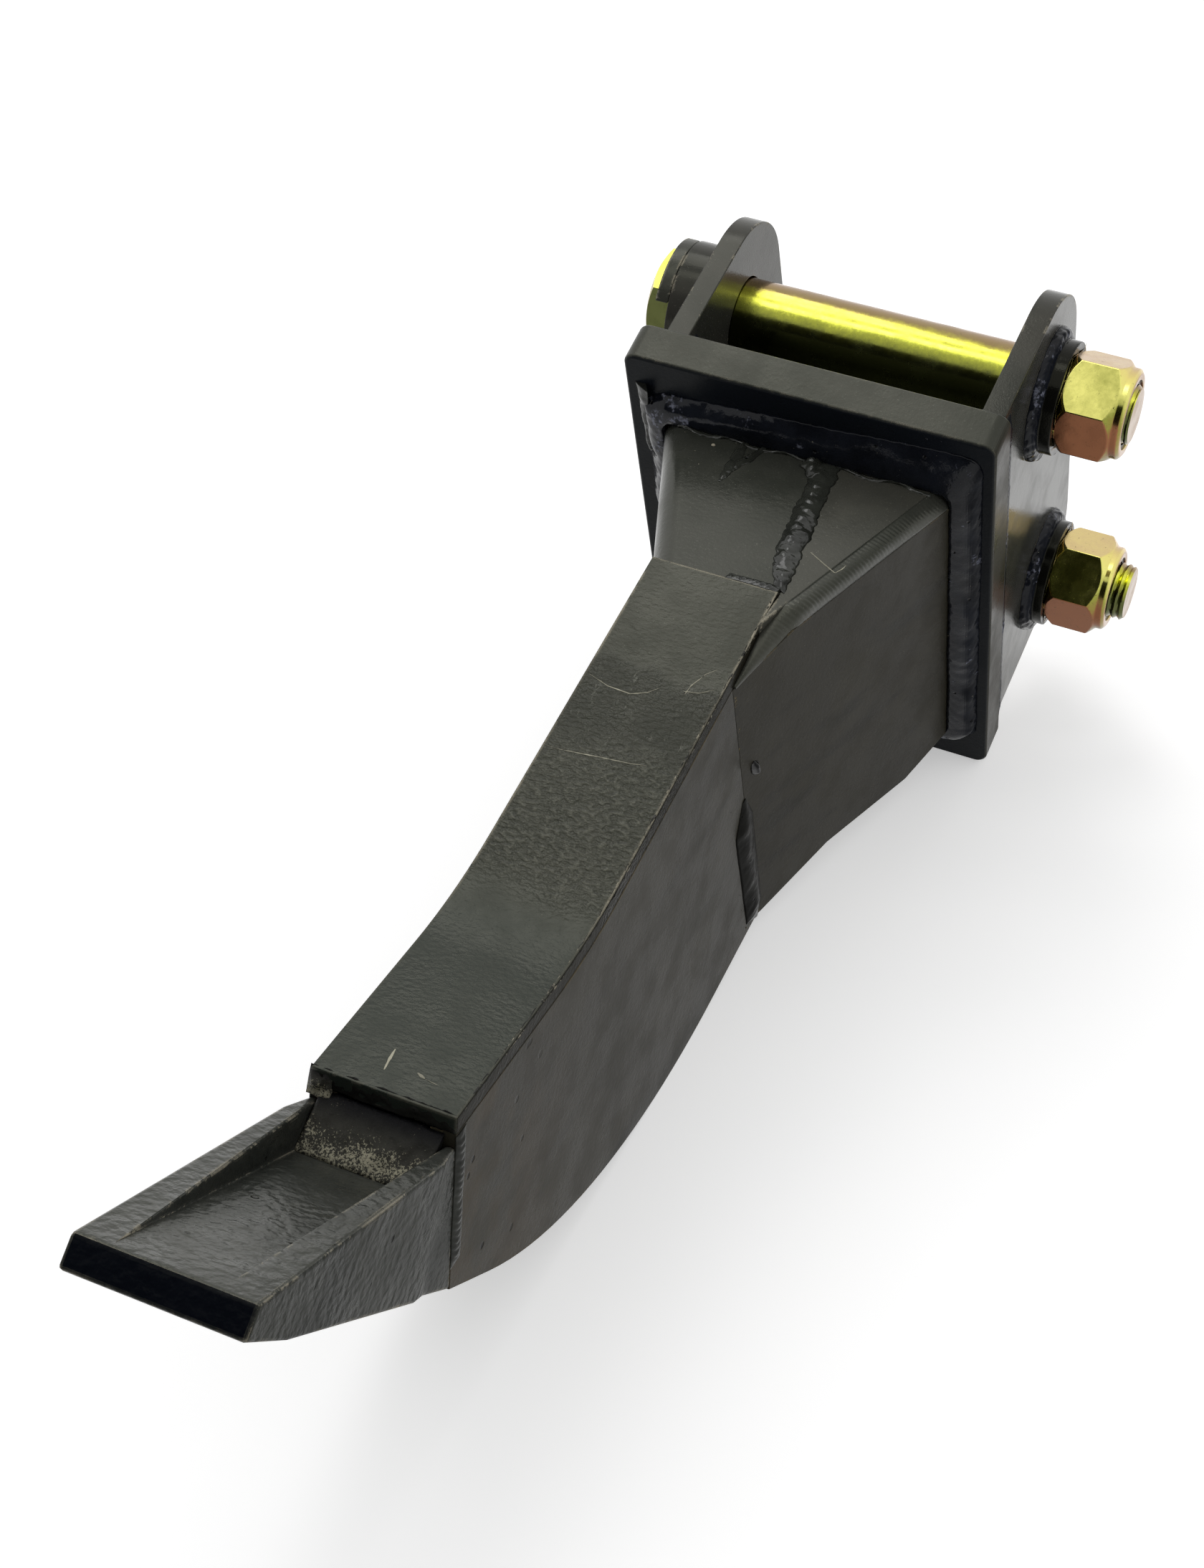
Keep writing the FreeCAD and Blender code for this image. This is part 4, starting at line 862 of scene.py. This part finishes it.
def strip(name, first, second, root, closed, taper):
    """The plain prism of a bead, with its run, share, out and side written on its points."""
    places, length = stations([first, second, root], closed)
    count = len(places)
    mesh = bpy.data.meshes.new(name)
    points, runs, shares, outs, sides = [], [], [], [], []
    for i, (a, b, c) in enumerate(places):
        before = places[i - 1] if closed or i else places[i]
        after = places[(i + 1) % count] if closed or i < count - 1 else places[i]
        ahead = (after[0] + after[1]) - (before[0] + before[1])
        slant = (b - a).normalized()
        out = slant.cross(ahead).normalized()
        if out.dot((a + b) / 2 - c) < 0:
            out = -out
        run = length * i / (count if closed else count - 1)
        fade = 1.0 if closed else min(1.0, 0.15 + min(run, length - run) / taper)
        for k in range(ACROSS + 1):
            points.append(a.lerp(b, k / ACROSS))
            runs.append(run)
            shares.append(k / ACROSS)
            outs.append(out * fade)
            sides.append(slant * fade)
        points.append(c)
        runs.append(run)
        shares.append(0.5)
        outs.append(Vector())
        sides.append(Vector())
    wide = ACROSS + 2
    faces = []
    for i in range(count if closed else count - 1):
        j = (i + 1) % count
        for k in range(wide):
            m = (k + 1) % wide
            faces.append((i * wide + k, i * wide + m, j * wide + m, j * wide + k))
    if not closed:
        faces.append(tuple(range(wide - 1, -1, -1)))
        faces.append(tuple((count - 1) * wide + k for k in range(wide)))
    mesh.from_pydata(points, [], faces)
    for title, kind, values in (("run", "FLOAT", runs), ("share", "FLOAT", shares)):
        mesh.attributes.new(title, kind, "POINT").data.foreach_set("value", values)
    for title, values in (("out", outs), ("side", sides)):
        flat = [number for value in values for number in value]
        mesh.attributes.new(title, "FLOAT_VECTOR", "POINT").data.foreach_set("vector", flat)
    return mesh, length


def bead(name, first, second, root, material, closed=False, replaced=(), taper=0.004, **inputs):
    """A finished weld bead between two edges."""
    mesh, length = strip(name, first, second, root, closed, taper)
    settings = dict(BEAD_INPUTS)
    settings.update({key.replace("_", " "): value for key, value in inputs.items()})
    turns = max(1, round(length / settings["Pitch"]))
    settings["Pitch"] = length / turns
    settings["Finish"] = material
    piece = new_object(name, mesh)
    modifier = piece.modifiers.new("bead", "NODES")
    modifier.node_group = weld_tree
    set_inputs(modifier, weld_tree, settings)
    plain_mesh(piece, name)
    shape = bmesh.new()
    shape.from_mesh(piece.data)
    bmesh.ops.recalc_face_normals(shape, faces=shape.faces)
    for face in shape.faces:
        face.smooth = len(face.verts) == 4
    shape.to_mesh(piece.data)
    shape.free()
    finished(piece, "weld_paint", *replaced)
    print(name, "runs", round(length * 1000), "mm,", len(piece.data.polygons), "faces")


# %% [markdown]
# The heaviest weld joins the housing to the mounting plate all round. Its outer border wanders: on
# top it climbs to the middle and falls away towards the left corner.

# %% Weld round the housing
TOP_BORDER = ((-61, 76), (-38, 88), (-5, 91), (26, 91), (60, 88))
CORNER_STEPS = 6


def rounded(left, right, bottom, top, radius):
    """A rectangle's outline in a plane across the tool, from the lower left and round the top."""
    corners = ((left, bottom, 180), (left, top, 90), (right, top, 0), (right, bottom, -90))
    outline = []
    for y, z, start in corners:
        centre_y = y + radius if y == left else y - radius
        centre_z = z + radius if z == bottom else z - radius
        first = start + 90 if start != 180 else 270
        for i in range(CORNER_STEPS + 1):
            turn = math.radians(first - 90 * i / CORNER_STEPS)
            outline.append((centre_y + radius * math.cos(turn), centre_z + radius * math.sin(turn)))
    return outline


def top_border(y):
    """Height of the weld's upper border on the plate."""
    for (y0, z0), (y1, z1) in zip(TOP_BORDER, TOP_BORDER[1:]):
        if y <= y1:
            return z0 + (z1 - z0) * max(0.0, (y - y0) / (y1 - y0))
    return TOP_BORDER[-1][1]


foot = []
for y, z in rounded(-62.0, 64.0, -80.0, 89.0, 8.0):
    foot.append(at(-0.2, y, min(z, top_border(y)) if z > 60 else z))
TOE = 6.0
toe_line = rounded(left_wall(TOE) - 0.3, right_wall(TOE) + 0.3, -72.3, hood_top(TOE) + 0.3, 5.0)
toe = [at(TOE + 0.4, y, z) for y, z in toe_line]
root = [at(-1.5, y, z) for y, z in rounded(-52.5, 53.4, -70.0, 68.0, 4.0)]
bead(
    "plate_weld_bead", foot, toe, root, weld_paint, closed=True,
    replaced=("plate_weld",), Crown=0.0019, Pitch=0.0052, Ripple=0.00003, Lumps=0.0016, Lump_Size=0.018,
    Waver=0.0009, Seed=3.0,
)

# %% [markdown]
# Two beads lie on the housing's top: a diagonal one over the seam between its plates, broad where
# it leaves the big weld, and a ribbed one that fills the open right-hand corner. An upright bead
# closes the right side plate's end, and a short one the hood's end.

# %% Beads on the housing
seam_left = ((5, 3.5), (21, 7.7), (43, 9.9), (62, 12.6), (77, 18.8))
seam_right = ((5, 15.0), (20, 16), (43, 19), (63, 22), (79, 23.6))


def on_top(x, y, lift=0.05):
    return at(x, y, hood_top(x) + lift)


bead(
    "hood_seam_bead", [on_top(x, y) for x, y in seam_left], [on_top(x, y) for x, y in seam_right],
    [on_top((a[0] + b[0]) / 2, (a[1] + b[1]) / 2, -1.5) for a, b in zip(seam_left, seam_right)],
    seam_paint, replaced=("hood_seam_weld",), Crown=0.0015, Pitch=0.0048, Ripple=0.00018, Lumps=0.0014,
    Lump_Size=0.008, Waver=0.0016, Seed=11.0,
)
WALL = 6.25
CORNER_TAIL = (
    (84.0, 25.2, 97.4, 32.1, 91.4), (90.0, 22.4, 97.2, 30.4, 91.8), (98.0, 22.2, 97.4, 28.2, 93.4),
    (108.0, 22.2, 97.2, 25.5, 94.7), (119.0, 22.15, 97.2, 22.9, 96.2),
)
corner_xs = [4 + (HOOD_LENGTH - 4) * i / 12 for i in range(13)]
bead(
    "hood_corner_bead",
    [at(x, right_wall(x) - WALL, hood_top(x)) for x in corner_xs]
    + [at(x, y, z) for x, y, z, _, _ in CORNER_TAIL],
    [at(x, right_wall(x), hood_top(x) - WALL) for x in corner_xs]
    + [at(x, y, z) for x, _, _, y, z in CORNER_TAIL],
    [at(x, right_wall(x) - WALL, hood_top(x) - WALL) for x in corner_xs]
    + [at(x, HALF_SHANK - 0.3, z - 0.6) for x, _, _, _, z in CORNER_TAIL],
    ridge_paint, replaced=("hood_corner_weld",), taper=0.045, Crown=0.0028, Pitch=0.0019, Ripple=0.0003,
    Lumps=0.0002, Waver=0.0002, Seed=5.0,
)
UPRIGHT = ((-46, 119.0, 120.6), (-38, 116.2, 128.5), (20, 116.2, 129.5), (32, 118.8, 121.5))
bead(
    "side_plate_bead",
    [at(near, right_wall(near) - 0.1, z) for z, near, _ in UPRIGHT],
    [at(far, HALF_SHANK + 0.05, z) for z, _, far in UPRIGHT],
    [at((near + far) / 2, HALF_SHANK - 1.5, z) for z, near, far in UPRIGHT],
    upright_paint, replaced=("side_plate_weld",), taper=0.015, Crown=0.0013, Pitch=0.006, Ripple=0.00005,
    Lumps=0.0008, Lump_Size=0.014, Waver=0.0004, Seed=17.0,
)
bead(
    "hood_end_bead",
    [at(76, y, hood_top(76) + 0.05) for y in (3.5, 21.8)],
    [at(80.4, y, FRONT_START + 0.05) for y in (3.5, 21.8)],
    [at(79.5, y, hood_top(79) - 1.5) for y in (3.5, 21.8)],
    seam_paint, replaced=("hood_end_weld",), Crown=0.0007, Pitch=0.0024, Ripple=0.0003, Lumps=0.0006,
    Waver=0.0006, Seed=19.0,
)

# %% [markdown]
# The ears are welded to the back of the plate on both sides, and each ring is welded to its ear.

# %% Beads of the ears
LEFT_EAR_OUTSIDE = -57.9
EAR_FACES = {
    "left_ear": (-49.6, 1, LEFT_EAR_OUTSIDE, -1),
    "right_ear": (57.4, -1, RIGHT_EAR_OUTSIDE, 1),
}
EAR_FOOT = (-83.0, 88.5)
PLATE_BACK = -16.0
for ear, (inside, inward, outside, outward) in EAR_FACES.items():
    for part, face, way, leg, crown in (
        ("inner", inside, inward, 6.0, 0.0006), ("outer", outside, outward, 2.0, 0.0002),
    ):
        bead(
            f"{ear}_{part}_bead",
            [at(PLATE_BACK, face + way * leg, z) for z in EAR_FOOT],
            [at(PLATE_BACK - 6.0, face, z) for z in EAR_FOOT],
            [at(PLATE_BACK + 1.2, face - way * 1.2, z) for z in EAR_FOOT],
            weld_paint, replaced=(f"{ear}_welds",), Crown=crown, Pitch=0.003, Ripple=0.0004, Lumps=0.0004,
            Waver=0.0004, Seed=23.0,
        )
RING_LEG = 4.0
RING_STEPS = 72


def around(centre, reach, y):
    """A circle about a pin's axis."""
    turns = [2 * math.pi * i / RING_STEPS for i in range(RING_STEPS)]
    return [at(centre.x + reach * math.cos(t), y, centre.z + reach * math.sin(t)) for t in turns]


for ear, face, way, radius in (
    ("left_ear", LEFT_EAR_OUTSIDE, -1, 23.5), ("right_ear", RIGHT_EAR_OUTSIDE, 1, 20.7),
):
    for level, centre in (("upper", UPPER_PIN), ("lower", LOWER_PIN)):
        bead(
            f"{level}_{ear}_ring_bead", around(centre, radius + RING_LEG, face),
            around(centre, radius, face + way * RING_LEG), around(centre, radius - 1.0, face - way * 1.0),
            weld_paint, closed=True, Crown=0.0011, Pitch=0.0045,
            Ripple=0.0002, Lumps=0.0012, Lump_Size=0.008, Waver=0.0005, Seed=29.0 + radius,
        )

# %% [markdown]
# Where the cast point meets the shank, rough weld fills the back of the pocket, and a flatter bead
# runs down each side.

# %% Beads of the point


def on_point(x, y, z):
    return TIP @ Vector((x, y, z))


POCKET_REACH = 114.5
POCKET_SLOPE = 11.7 / (POCKET_REACH - 9.4)
POCKET_TOE = 12.5
JOINT = (math.sin(TIP_TURN), math.cos(TIP_TURN))
half = 18.6
bead(
    "pocket_weld_bead",
    [on_point(1.4, y, 3.6) for y in (-half, half)],
    [on_point(POCKET_TOE, y, -POCKET_SLOPE * (POCKET_REACH - POCKET_TOE) + 0.1) for y in (-half, half)],
    [on_point(0, y, -12.0) for y in (-half, half)],
    rough_weld_paint, replaced=("tip_weld",), taper=0.001, Crown=0.0005, Pitch=0.02,
    Ripple=0.0002, Lumps=0.0022, Lump_Size=0.005, Waver=0.0008, Seed=31.0,
)
for side, way in (("left", -1), ("right", 1)):
    edges = []
    for shift, proud in ((0.5, 0.1), (-6.0, 0.1), (-2.5, -1.2)):
        edges.append([
            on_point(
                -depth * JOINT[0] + shift * JOINT[1], way * (HALF_SHANK + proud),
                -depth * JOINT[1] - shift * JOINT[0],
            )
            for depth in (-4.0, 46.0)
        ])
    bead(
        f"{side}_joint_bead", *edges, seam_paint, replaced=("tip_seam_welds",), Crown=0.0007, Pitch=0.0027,
        Ripple=0.0003, Lumps=0.0005, Waver=0.0005, Seed=37.0,
    )

# %% [markdown]
# Welding throws molten drops that freeze where they land. A second tree scatters them: it takes a
# patch of steel, strews points over it with a fixed seed, and sets a small squashed ball on each.

# %% A tree for spatter
SPATTER_INPUTS = (("Density", 9000.0, "NodeSocketFloat"), ("Smallest", 0.0002, "NodeSocketFloat"),
                  ("Largest", 0.0009, "NodeSocketFloat"), ("Seed", 1, "NodeSocketInt"))


def spatter_tree():
    tree = bpy.data.node_groups.new("spatter", "GeometryNodeTree")
    face = tree.interface
    face.new_socket("Geometry", in_out="INPUT", socket_type="NodeSocketGeometry")
    for name, value, kind in SPATTER_INPUTS:
        face.new_socket(name, in_out="INPUT", socket_type=kind).default_value = value
    face.new_socket("Finish", in_out="INPUT", socket_type="NodeSocketMaterial")
    face.new_socket("Geometry", in_out="OUTPUT", socket_type="NodeSocketGeometry")
    given = tree.nodes.new("NodeGroupInput").outputs
    strewn = node(
        tree, "GeometryNodeDistributePointsOnFaces",
        named={"Mesh": given["Geometry"], "Density": given["Density"], "Seed": given["Seed"]},
    )
    drop = node(tree, "GeometryNodeMeshIcoSphere", named={"Radius": 1.0, "Subdivisions": 2}).outputs[0]
    flat = node(tree, "GeometryNodeTransform", named={"Geometry": drop, "Scale": (1.0, 1.0, 0.55)}).outputs[0]
    chance = node(tree, "FunctionNodeRandomValue", data_type="FLOAT", named={"Seed": given["Seed"]})
    share = sums(tree, "POWER", next(s for s in chance.outputs if s.enabled), 4.0)
    size = plus(tree, given["Smallest"], times(
        tree, share, less(tree, given["Largest"], given["Smallest"]),
    ))
    put = node(tree, "GeometryNodeInstanceOnPoints", named={
        "Points": strewn.outputs["Points"], "Instance": flat, "Rotation": strewn.outputs["Rotation"],
        "Scale": size,
    }).outputs[0]
    whole = node(tree, "GeometryNodeRealizeInstances", put).outputs[0]
    smooth = node(tree, "GeometryNodeSetShadeSmooth", whole).outputs[0]
    made = node(tree, "GeometryNodeSetMaterial", named={"Geometry": smooth, "Material": given["Finish"]})
    tree.links.new(made.outputs[0], tree.nodes.new("NodeGroupOutput").inputs[0])
    return tree


drop_tree = spatter_tree()


def spatter(name, corners, material, **inputs):
    """Frozen drops over one four-cornered patch."""
    mesh = bpy.data.meshes.new(name)
    mesh.from_pydata(corners, [], [(0, 1, 2, 3)])
    settings = {title: value for title, value, _ in SPATTER_INPUTS}
    settings.update(inputs)
    settings["Finish"] = material
    piece = new_object(name, mesh)
    modifier = piece.modifiers.new("spatter", "NODES")
    modifier.node_group = drop_tree
    set_inputs(modifier, drop_tree, settings)
    plain_mesh(piece, name)
    print(name, len(piece.data.polygons), "faces")
    finished(piece, "weld_paint")


spatter("plate_spatter", [at(0, -62, 84), at(0, 62, 91), at(0, 62, 93), at(0, -62, 90)], weld_paint, Seed=4)
spatter("hood_spatter", [on_top(7, -45), on_top(30, -36), on_top(30, 4), on_top(7, 2)], plate_paint,
        Density=5000.0, Seed=8)
side_patch = [at(x, HALF_SHANK, z) for x, z in ((126, 40), (132, 40), (132, -45), (126, -45))]
spatter("side_spatter", side_patch, side_paint, Density=12000.0, Seed=15)

# %% [markdown]
# Small marks tell the eye that a thing is real: the rough lip at the wear plate's end, the slag in
# its corner, a forked ridge like a stump of weld on the housing, a drop of thick paint where the
# side plate ends, worn edges, and a few scratches down to the primer. Each follows the surface it
# lies on.

# %% Torn lip, slag, stump, runs and scratches
BEND_CENTRE = (183.26, 276.34)
BEND_RADIUS = 165.0
BEND_FIRST, BEND_LAST = 202.8, 249.3


def wear_top(x):
    """Height of the wear plate's outer face."""
    if x < BEND_FIRST:
        return FRONT_START + (x - HOOD_LENGTH) * FRONT_SLOPE
    if x > BEND_LAST:
        return BEND_Z + (x - BEND_X) * math.tan(END_SLOPE)
    return BEND_CENTRE[1] - math.sqrt(BEND_RADIUS ** 2 - (x - BEND_CENTRE[0]) ** 2)


def flat_mark(name, line, width, height, material, top=wear_top, **inputs):
    """A thin mark of an even width along a line of x and y places on a surface."""
    edges = ([], [], [])
    for i, (x, y) in enumerate(line):
        ahead = Vector(line[min(i + 1, len(line) - 1)]) - Vector(line[max(i - 1, 0)])
        aside = Vector((-ahead.y, ahead.x)).normalized() * (width / 2 if 0 < i < len(line) - 1 else width / 6)
        for edge, shift, sink in zip(edges, (1, -1, 0), (0.04, 0.04, -0.4)):
            edge.append(at(x + shift * aside.x, y + shift * aside.y, top(x + shift * aside.x) + sink))
    bead(name, *edges, material, Crown=height, **inputs)


FINE = dict(Pitch=0.003, Ripple=0.0, Lumps=0.0002, Lump_Size=0.002, Waver=0.0002)
for name, line, width in (
    ("arc_scratch", ((134, -20.4), (136.5, -13), (137, -5), (134.5, 0), (131.5, 2.6)), 0.35),
    ("corner_scratch", ((118, 16.5), (121, 14), (127, 11.5), (131, 11)), 0.3),
    ("cross_scratch", ((126, 19), (129, 15), (130, 10)), 0.25),
    ("line_scratch", ((165.4, -21), (165.4, -16), (164, -5), (162.6, 7), (161.5, 12)), 0.22),
    ("end_scratch", ((290.5, -5.2), (294, -4.8), (298.7, -4.0)), 0.9),
    ("end_nick", ((295.8, 4.6), (296.4, 6.1), (296.9, 7.4)), 1.0),
    ("end_hair", ((296.9, 7.6), (297.3, 9.8), (297.5, 11.9)), 0.25),
):
    flat_mark(name, line, width, 0.00004, bare_primer, Seed=41.0, **FINE)
flat_mark(
    "housing_scratch", ((54.7, 22.9), (58, 28), (61.8, 34.2), (58.8, 35.6), (56.6, 36.0)), 0.5, 0.00006,
    bare_primer, top=hood_top, Seed=43.0, **FINE,
)
STUMP = dict(Pitch=0.007, Ripple=0.0001, Lumps=0.0011, Lump_Size=0.005, Waver=0.0011)
for name, line, width, seed in (
    ("stump_left", ((5, -21), (12, -20.5), (22, -19.5), (31, -19.8)), 4.2, 47.0),
    ("stump_right", ((5, -13), (11, -15), (18, -17.4), (24, -19)), 3.2, 48.0),
):
    flat_mark(name, line, width, 0.0005, seam_paint, top=hood_top, Seed=seed, **STUMP)
flat_mark(
    "seam_lump", ((5, 3), (8, 5), (13, 9), (17, 11.5)), 8.5, 0.0018, seam_paint, top=hood_top, Seed=49.0,
    Pitch=0.007, Ripple=0.0003, Lumps=0.0026, Lump_Size=0.005, Waver=0.0016,
)

EDGE_START = 82
EDGE_RUN = 220
EDGE_STEPS = 60
edge_xs = [EDGE_START + EDGE_RUN * i / EDGE_STEPS for i in range(EDGE_STEPS + 1)]
bead(
    "edge_wear",
    [at(x, HALF_SHANK - 0.75, wear_top(x) + 0.03) for x in edge_xs],
    [at(x, HALF_SHANK + 0.03, wear_top(x) - 0.75) for x in edge_xs],
    [at(x, HALF_SHANK - 0.9, wear_top(x) - 0.9) for x in edge_xs],
    edge_paint, Crown=0.0002, Pitch=0.006, Ripple=0.0, Lumps=0.0004, Lump_Size=0.004, Waver=0.0005, Seed=67.0,
)
toe_ys = range(-46, 49, 2)
TOE_WAVE = 0.31
bead(
    "weld_toe",
    [at(6.6 + 0.9 * math.sin(y * TOE_WAVE), y, hood_top(6.6) + 0.55) for y in toe_ys],
    [at(7.9 + 1.1 * math.sin(y * TOE_WAVE), y, hood_top(7.9) + 0.05) for y in toe_ys],
    [at(6.9, y, hood_top(6.9) - 0.5) for y in toe_ys],
    seam_paint, Crown=0.0003, Pitch=0.006, Ripple=0.0, Lumps=0.0008, Lump_Size=0.004, Waver=0.0008, Seed=71.0,
)
END_ALONG = (math.cos(END_SLOPE), math.sin(END_SLOPE))
ends = [-21.6 + 43.2 * i / 8 for i in range(9)]
# The lip gets the near-black upright weld finish as painted shade on the plate's end face.
bead(
    "end_lip",
    [at(END_X - 1.0 * END_ALONG[0], y, END_Z - 1.0 * END_ALONG[1] + 0.05) for y in ends],
    [at(END_X + 2.5, y, END_Z - 5.3) for y in ends],
    [at(END_X - 0.6, y, END_Z - 3.4) for y in ends],
    upright_paint, taper=0.003, Crown=0.0003, Pitch=0.009, Ripple=0.0003, Lumps=0.0016, Lump_Size=0.005,
    Waver=0.0012, Seed=53.0,
)
SLAG_YS = (-22.6, -19.0, -15.5)
bead(
    "corner_slag",
    [at(305.0, y, 149.6) for y in SLAG_YS],
    [at(311.0, y, 143.2) for y in SLAG_YS],
    [at(306.0, y, 143.5) for y in SLAG_YS],
    rough_weld_paint, taper=0.002, Crown=0.0007, Pitch=0.006, Ripple=0.0003, Lumps=0.0028, Lump_Size=0.003,
    Waver=0.0014, Seed=57.0,
)
bead(
    "weld_run",
    [at(0.0, -64.3, 82), at(0.0, -63.2, 66), at(0.0, -60.4, 44)],
    [at(3.4, -58.0, 82), at(2.6, -58.8, 66), at(0.9, -59.2, 44)],
    [at(-0.6, -60.5, 82), at(-0.6, -60.5, 66), at(-0.6, -59.8, 44)],
    seam_paint, taper=0.006, Crown=0.0014, Pitch=0.01, Ripple=0.0001, Lumps=0.0014, Lump_Size=0.009,
    Waver=0.0004, Seed=59.0,
)
DROP_HEIGHT = 43.2
DROP = (
    (-4.2, 112.6, 113.0), (-3.2, 111.4, 114.3), (-1.0, 110.9, 115.2), (1.6, 111.3, 115.4),
    (3.4, 112.4, 115.0), (4.4, 113.5, 114.0),
)
bead(
    "paint_drop",
    [at(near, right_wall(near) + 0.02, DROP_HEIGHT + z) for z, near, _ in DROP],
    [at(far, right_wall(far) + 0.02, DROP_HEIGHT + z) for z, _, far in DROP],
    [at((near + far) / 2, right_wall(113) - 0.8, DROP_HEIGHT + z) for z, near, far in DROP],
    wet_paint, taper=0.003, Crown=0.0019, Pitch=0.02, Ripple=0.0, Lumps=0.0001, Waver=0.0, Seed=61.0,
)

# %% [markdown]
# The studio is plain: a pale floor, a strip lamp over the pins, a soft key lamp behind and to the
# left that the wear plate mirrors, and a pale sky, which shiny paint reflects too. A dark card behind
# the camera, which the camera itself doesn't see, gives the plated pins something dark to mirror, as
# a photographer would set one up to bring out their roundness.

# %% Floor, lamps, card and sky


def plain_material(name, shade):
    material = bpy.data.materials.new(name)
    material.use_nodes = True
    shader = material.node_tree.nodes["Principled BSDF"]
    shader.inputs["Base Color"].default_value = (shade, shade, shade, 1.0)
    shader.inputs["Roughness"].default_value = 1.0
    shader.inputs["Specular IOR Level"].default_value = 0.0
    return material, shader


def panel(name, corners, material):
    mesh = bpy.data.meshes.new(name)
    mesh.from_pydata(corners, [], [(0, 1, 2, 3)])
    mesh.materials.append(material)
    made = new_object(name, mesh)
    return made


def seen_share(tree):
    """1 for what the camera sees straight, in a mirror or through glass, and 0 for soft light."""
    paths = tree.nodes.new("ShaderNodeLightPath").outputs
    mirrored = sums(tree, "MAXIMUM", paths["Is Glossy Ray"], paths["Is Transmission Ray"])
    return sums(tree, "MAXIMUM", paths["Is Camera Ray"], mirrored)


FLOOR = 6.0
pale, pale_shader = plain_material("pale_floor", 0.93)
pale_shader.inputs["Emission Color"].default_value = (1.0, 1.0, 1.0, 1.0)
lift = times(pale.node_tree, seen_share(pale.node_tree), 0.42)
pale.node_tree.links.new(lift, pale_shader.inputs["Emission Strength"])
panel("floor", [(-FLOOR, -FLOOR, 0), (FLOOR, -FLOOR, 0), (FLOOR, FLOOR, 0), (-FLOOR, FLOOR, 0)], pale)
shade, _ = plain_material("shade_card", 0.05)
card = panel("shade_card", [(1.6, -1.7, 0.05), (1.6, 1.3, 0.05), (1.6, 1.3, 2.1), (1.6, -1.7, 2.1)], shade)
card.visible_camera = False


def lamp(name, place, size, power, aim):
    light = bpy.data.lights.new(name, "AREA")
    light.shape = "RECTANGLE"
    light.size, light.size_y = size
    light.energy = power
    made = new_object(name, light)
    made.location = place
    made.rotation_euler = (Vector(aim) - Vector(place)).to_track_quat("-Z", "Y").to_euler()


lamp("strip", (-0.10, -0.39, 1.39), (0.26, 1.3), 2.8, aim=(-0.24, -0.01, 0.16))
lamp("key", (-0.73, -0.44, 1.22), (0.42, 0.6), 2.6, aim=(0.05, -0.01, 0.14))
world = bpy.data.worlds.new("sky")
bpy.context.scene.world = world
world.use_nodes = True
sky = world.node_tree.nodes["Background"]
sky.inputs["Color"].default_value = (1.0, 1.0, 1.0, 1.0)
AMBIENT = 0.66
strength = times(world.node_tree, seen_share(world.node_tree), 1.0 - AMBIENT)
world.node_tree.links.new(plus(world.node_tree, strength, AMBIENT), sky.inputs["Strength"])
print("lamps set")

# %% [markdown]
# The camera stands in front and to the right of the point, about an arm's length above the floor,
# and is tilted a little to the side, as a hand-held camera was.

# %% Camera
CAMERA = Vector((0.59925, 0.22912, 0.65381))
AIM = Vector((-0.05325, -0.04428, 0.060))
ROLL = math.radians(2.302)
LENS = 60.62
lens = bpy.data.cameras.new("camera")
lens.lens = LENS
lens.sensor_width = 36.0
camera = new_object("camera", lens)
backward = (CAMERA - AIM).normalized()
level_right = Vector((0, 0, 1)).cross(backward).normalized()
level_up = backward.cross(level_right)
right = level_right * math.cos(ROLL) + level_up * math.sin(ROLL)
up = backward.cross(right)
camera.matrix_world = Matrix.Translation(CAMERA) @ Matrix((right, up, backward)).transposed().to_4x4()
bpy.context.scene.camera = camera
bpy.context.scene.view_settings.view_transform = "Standard"
print("camera", [round(number, 3) for number in camera.location])
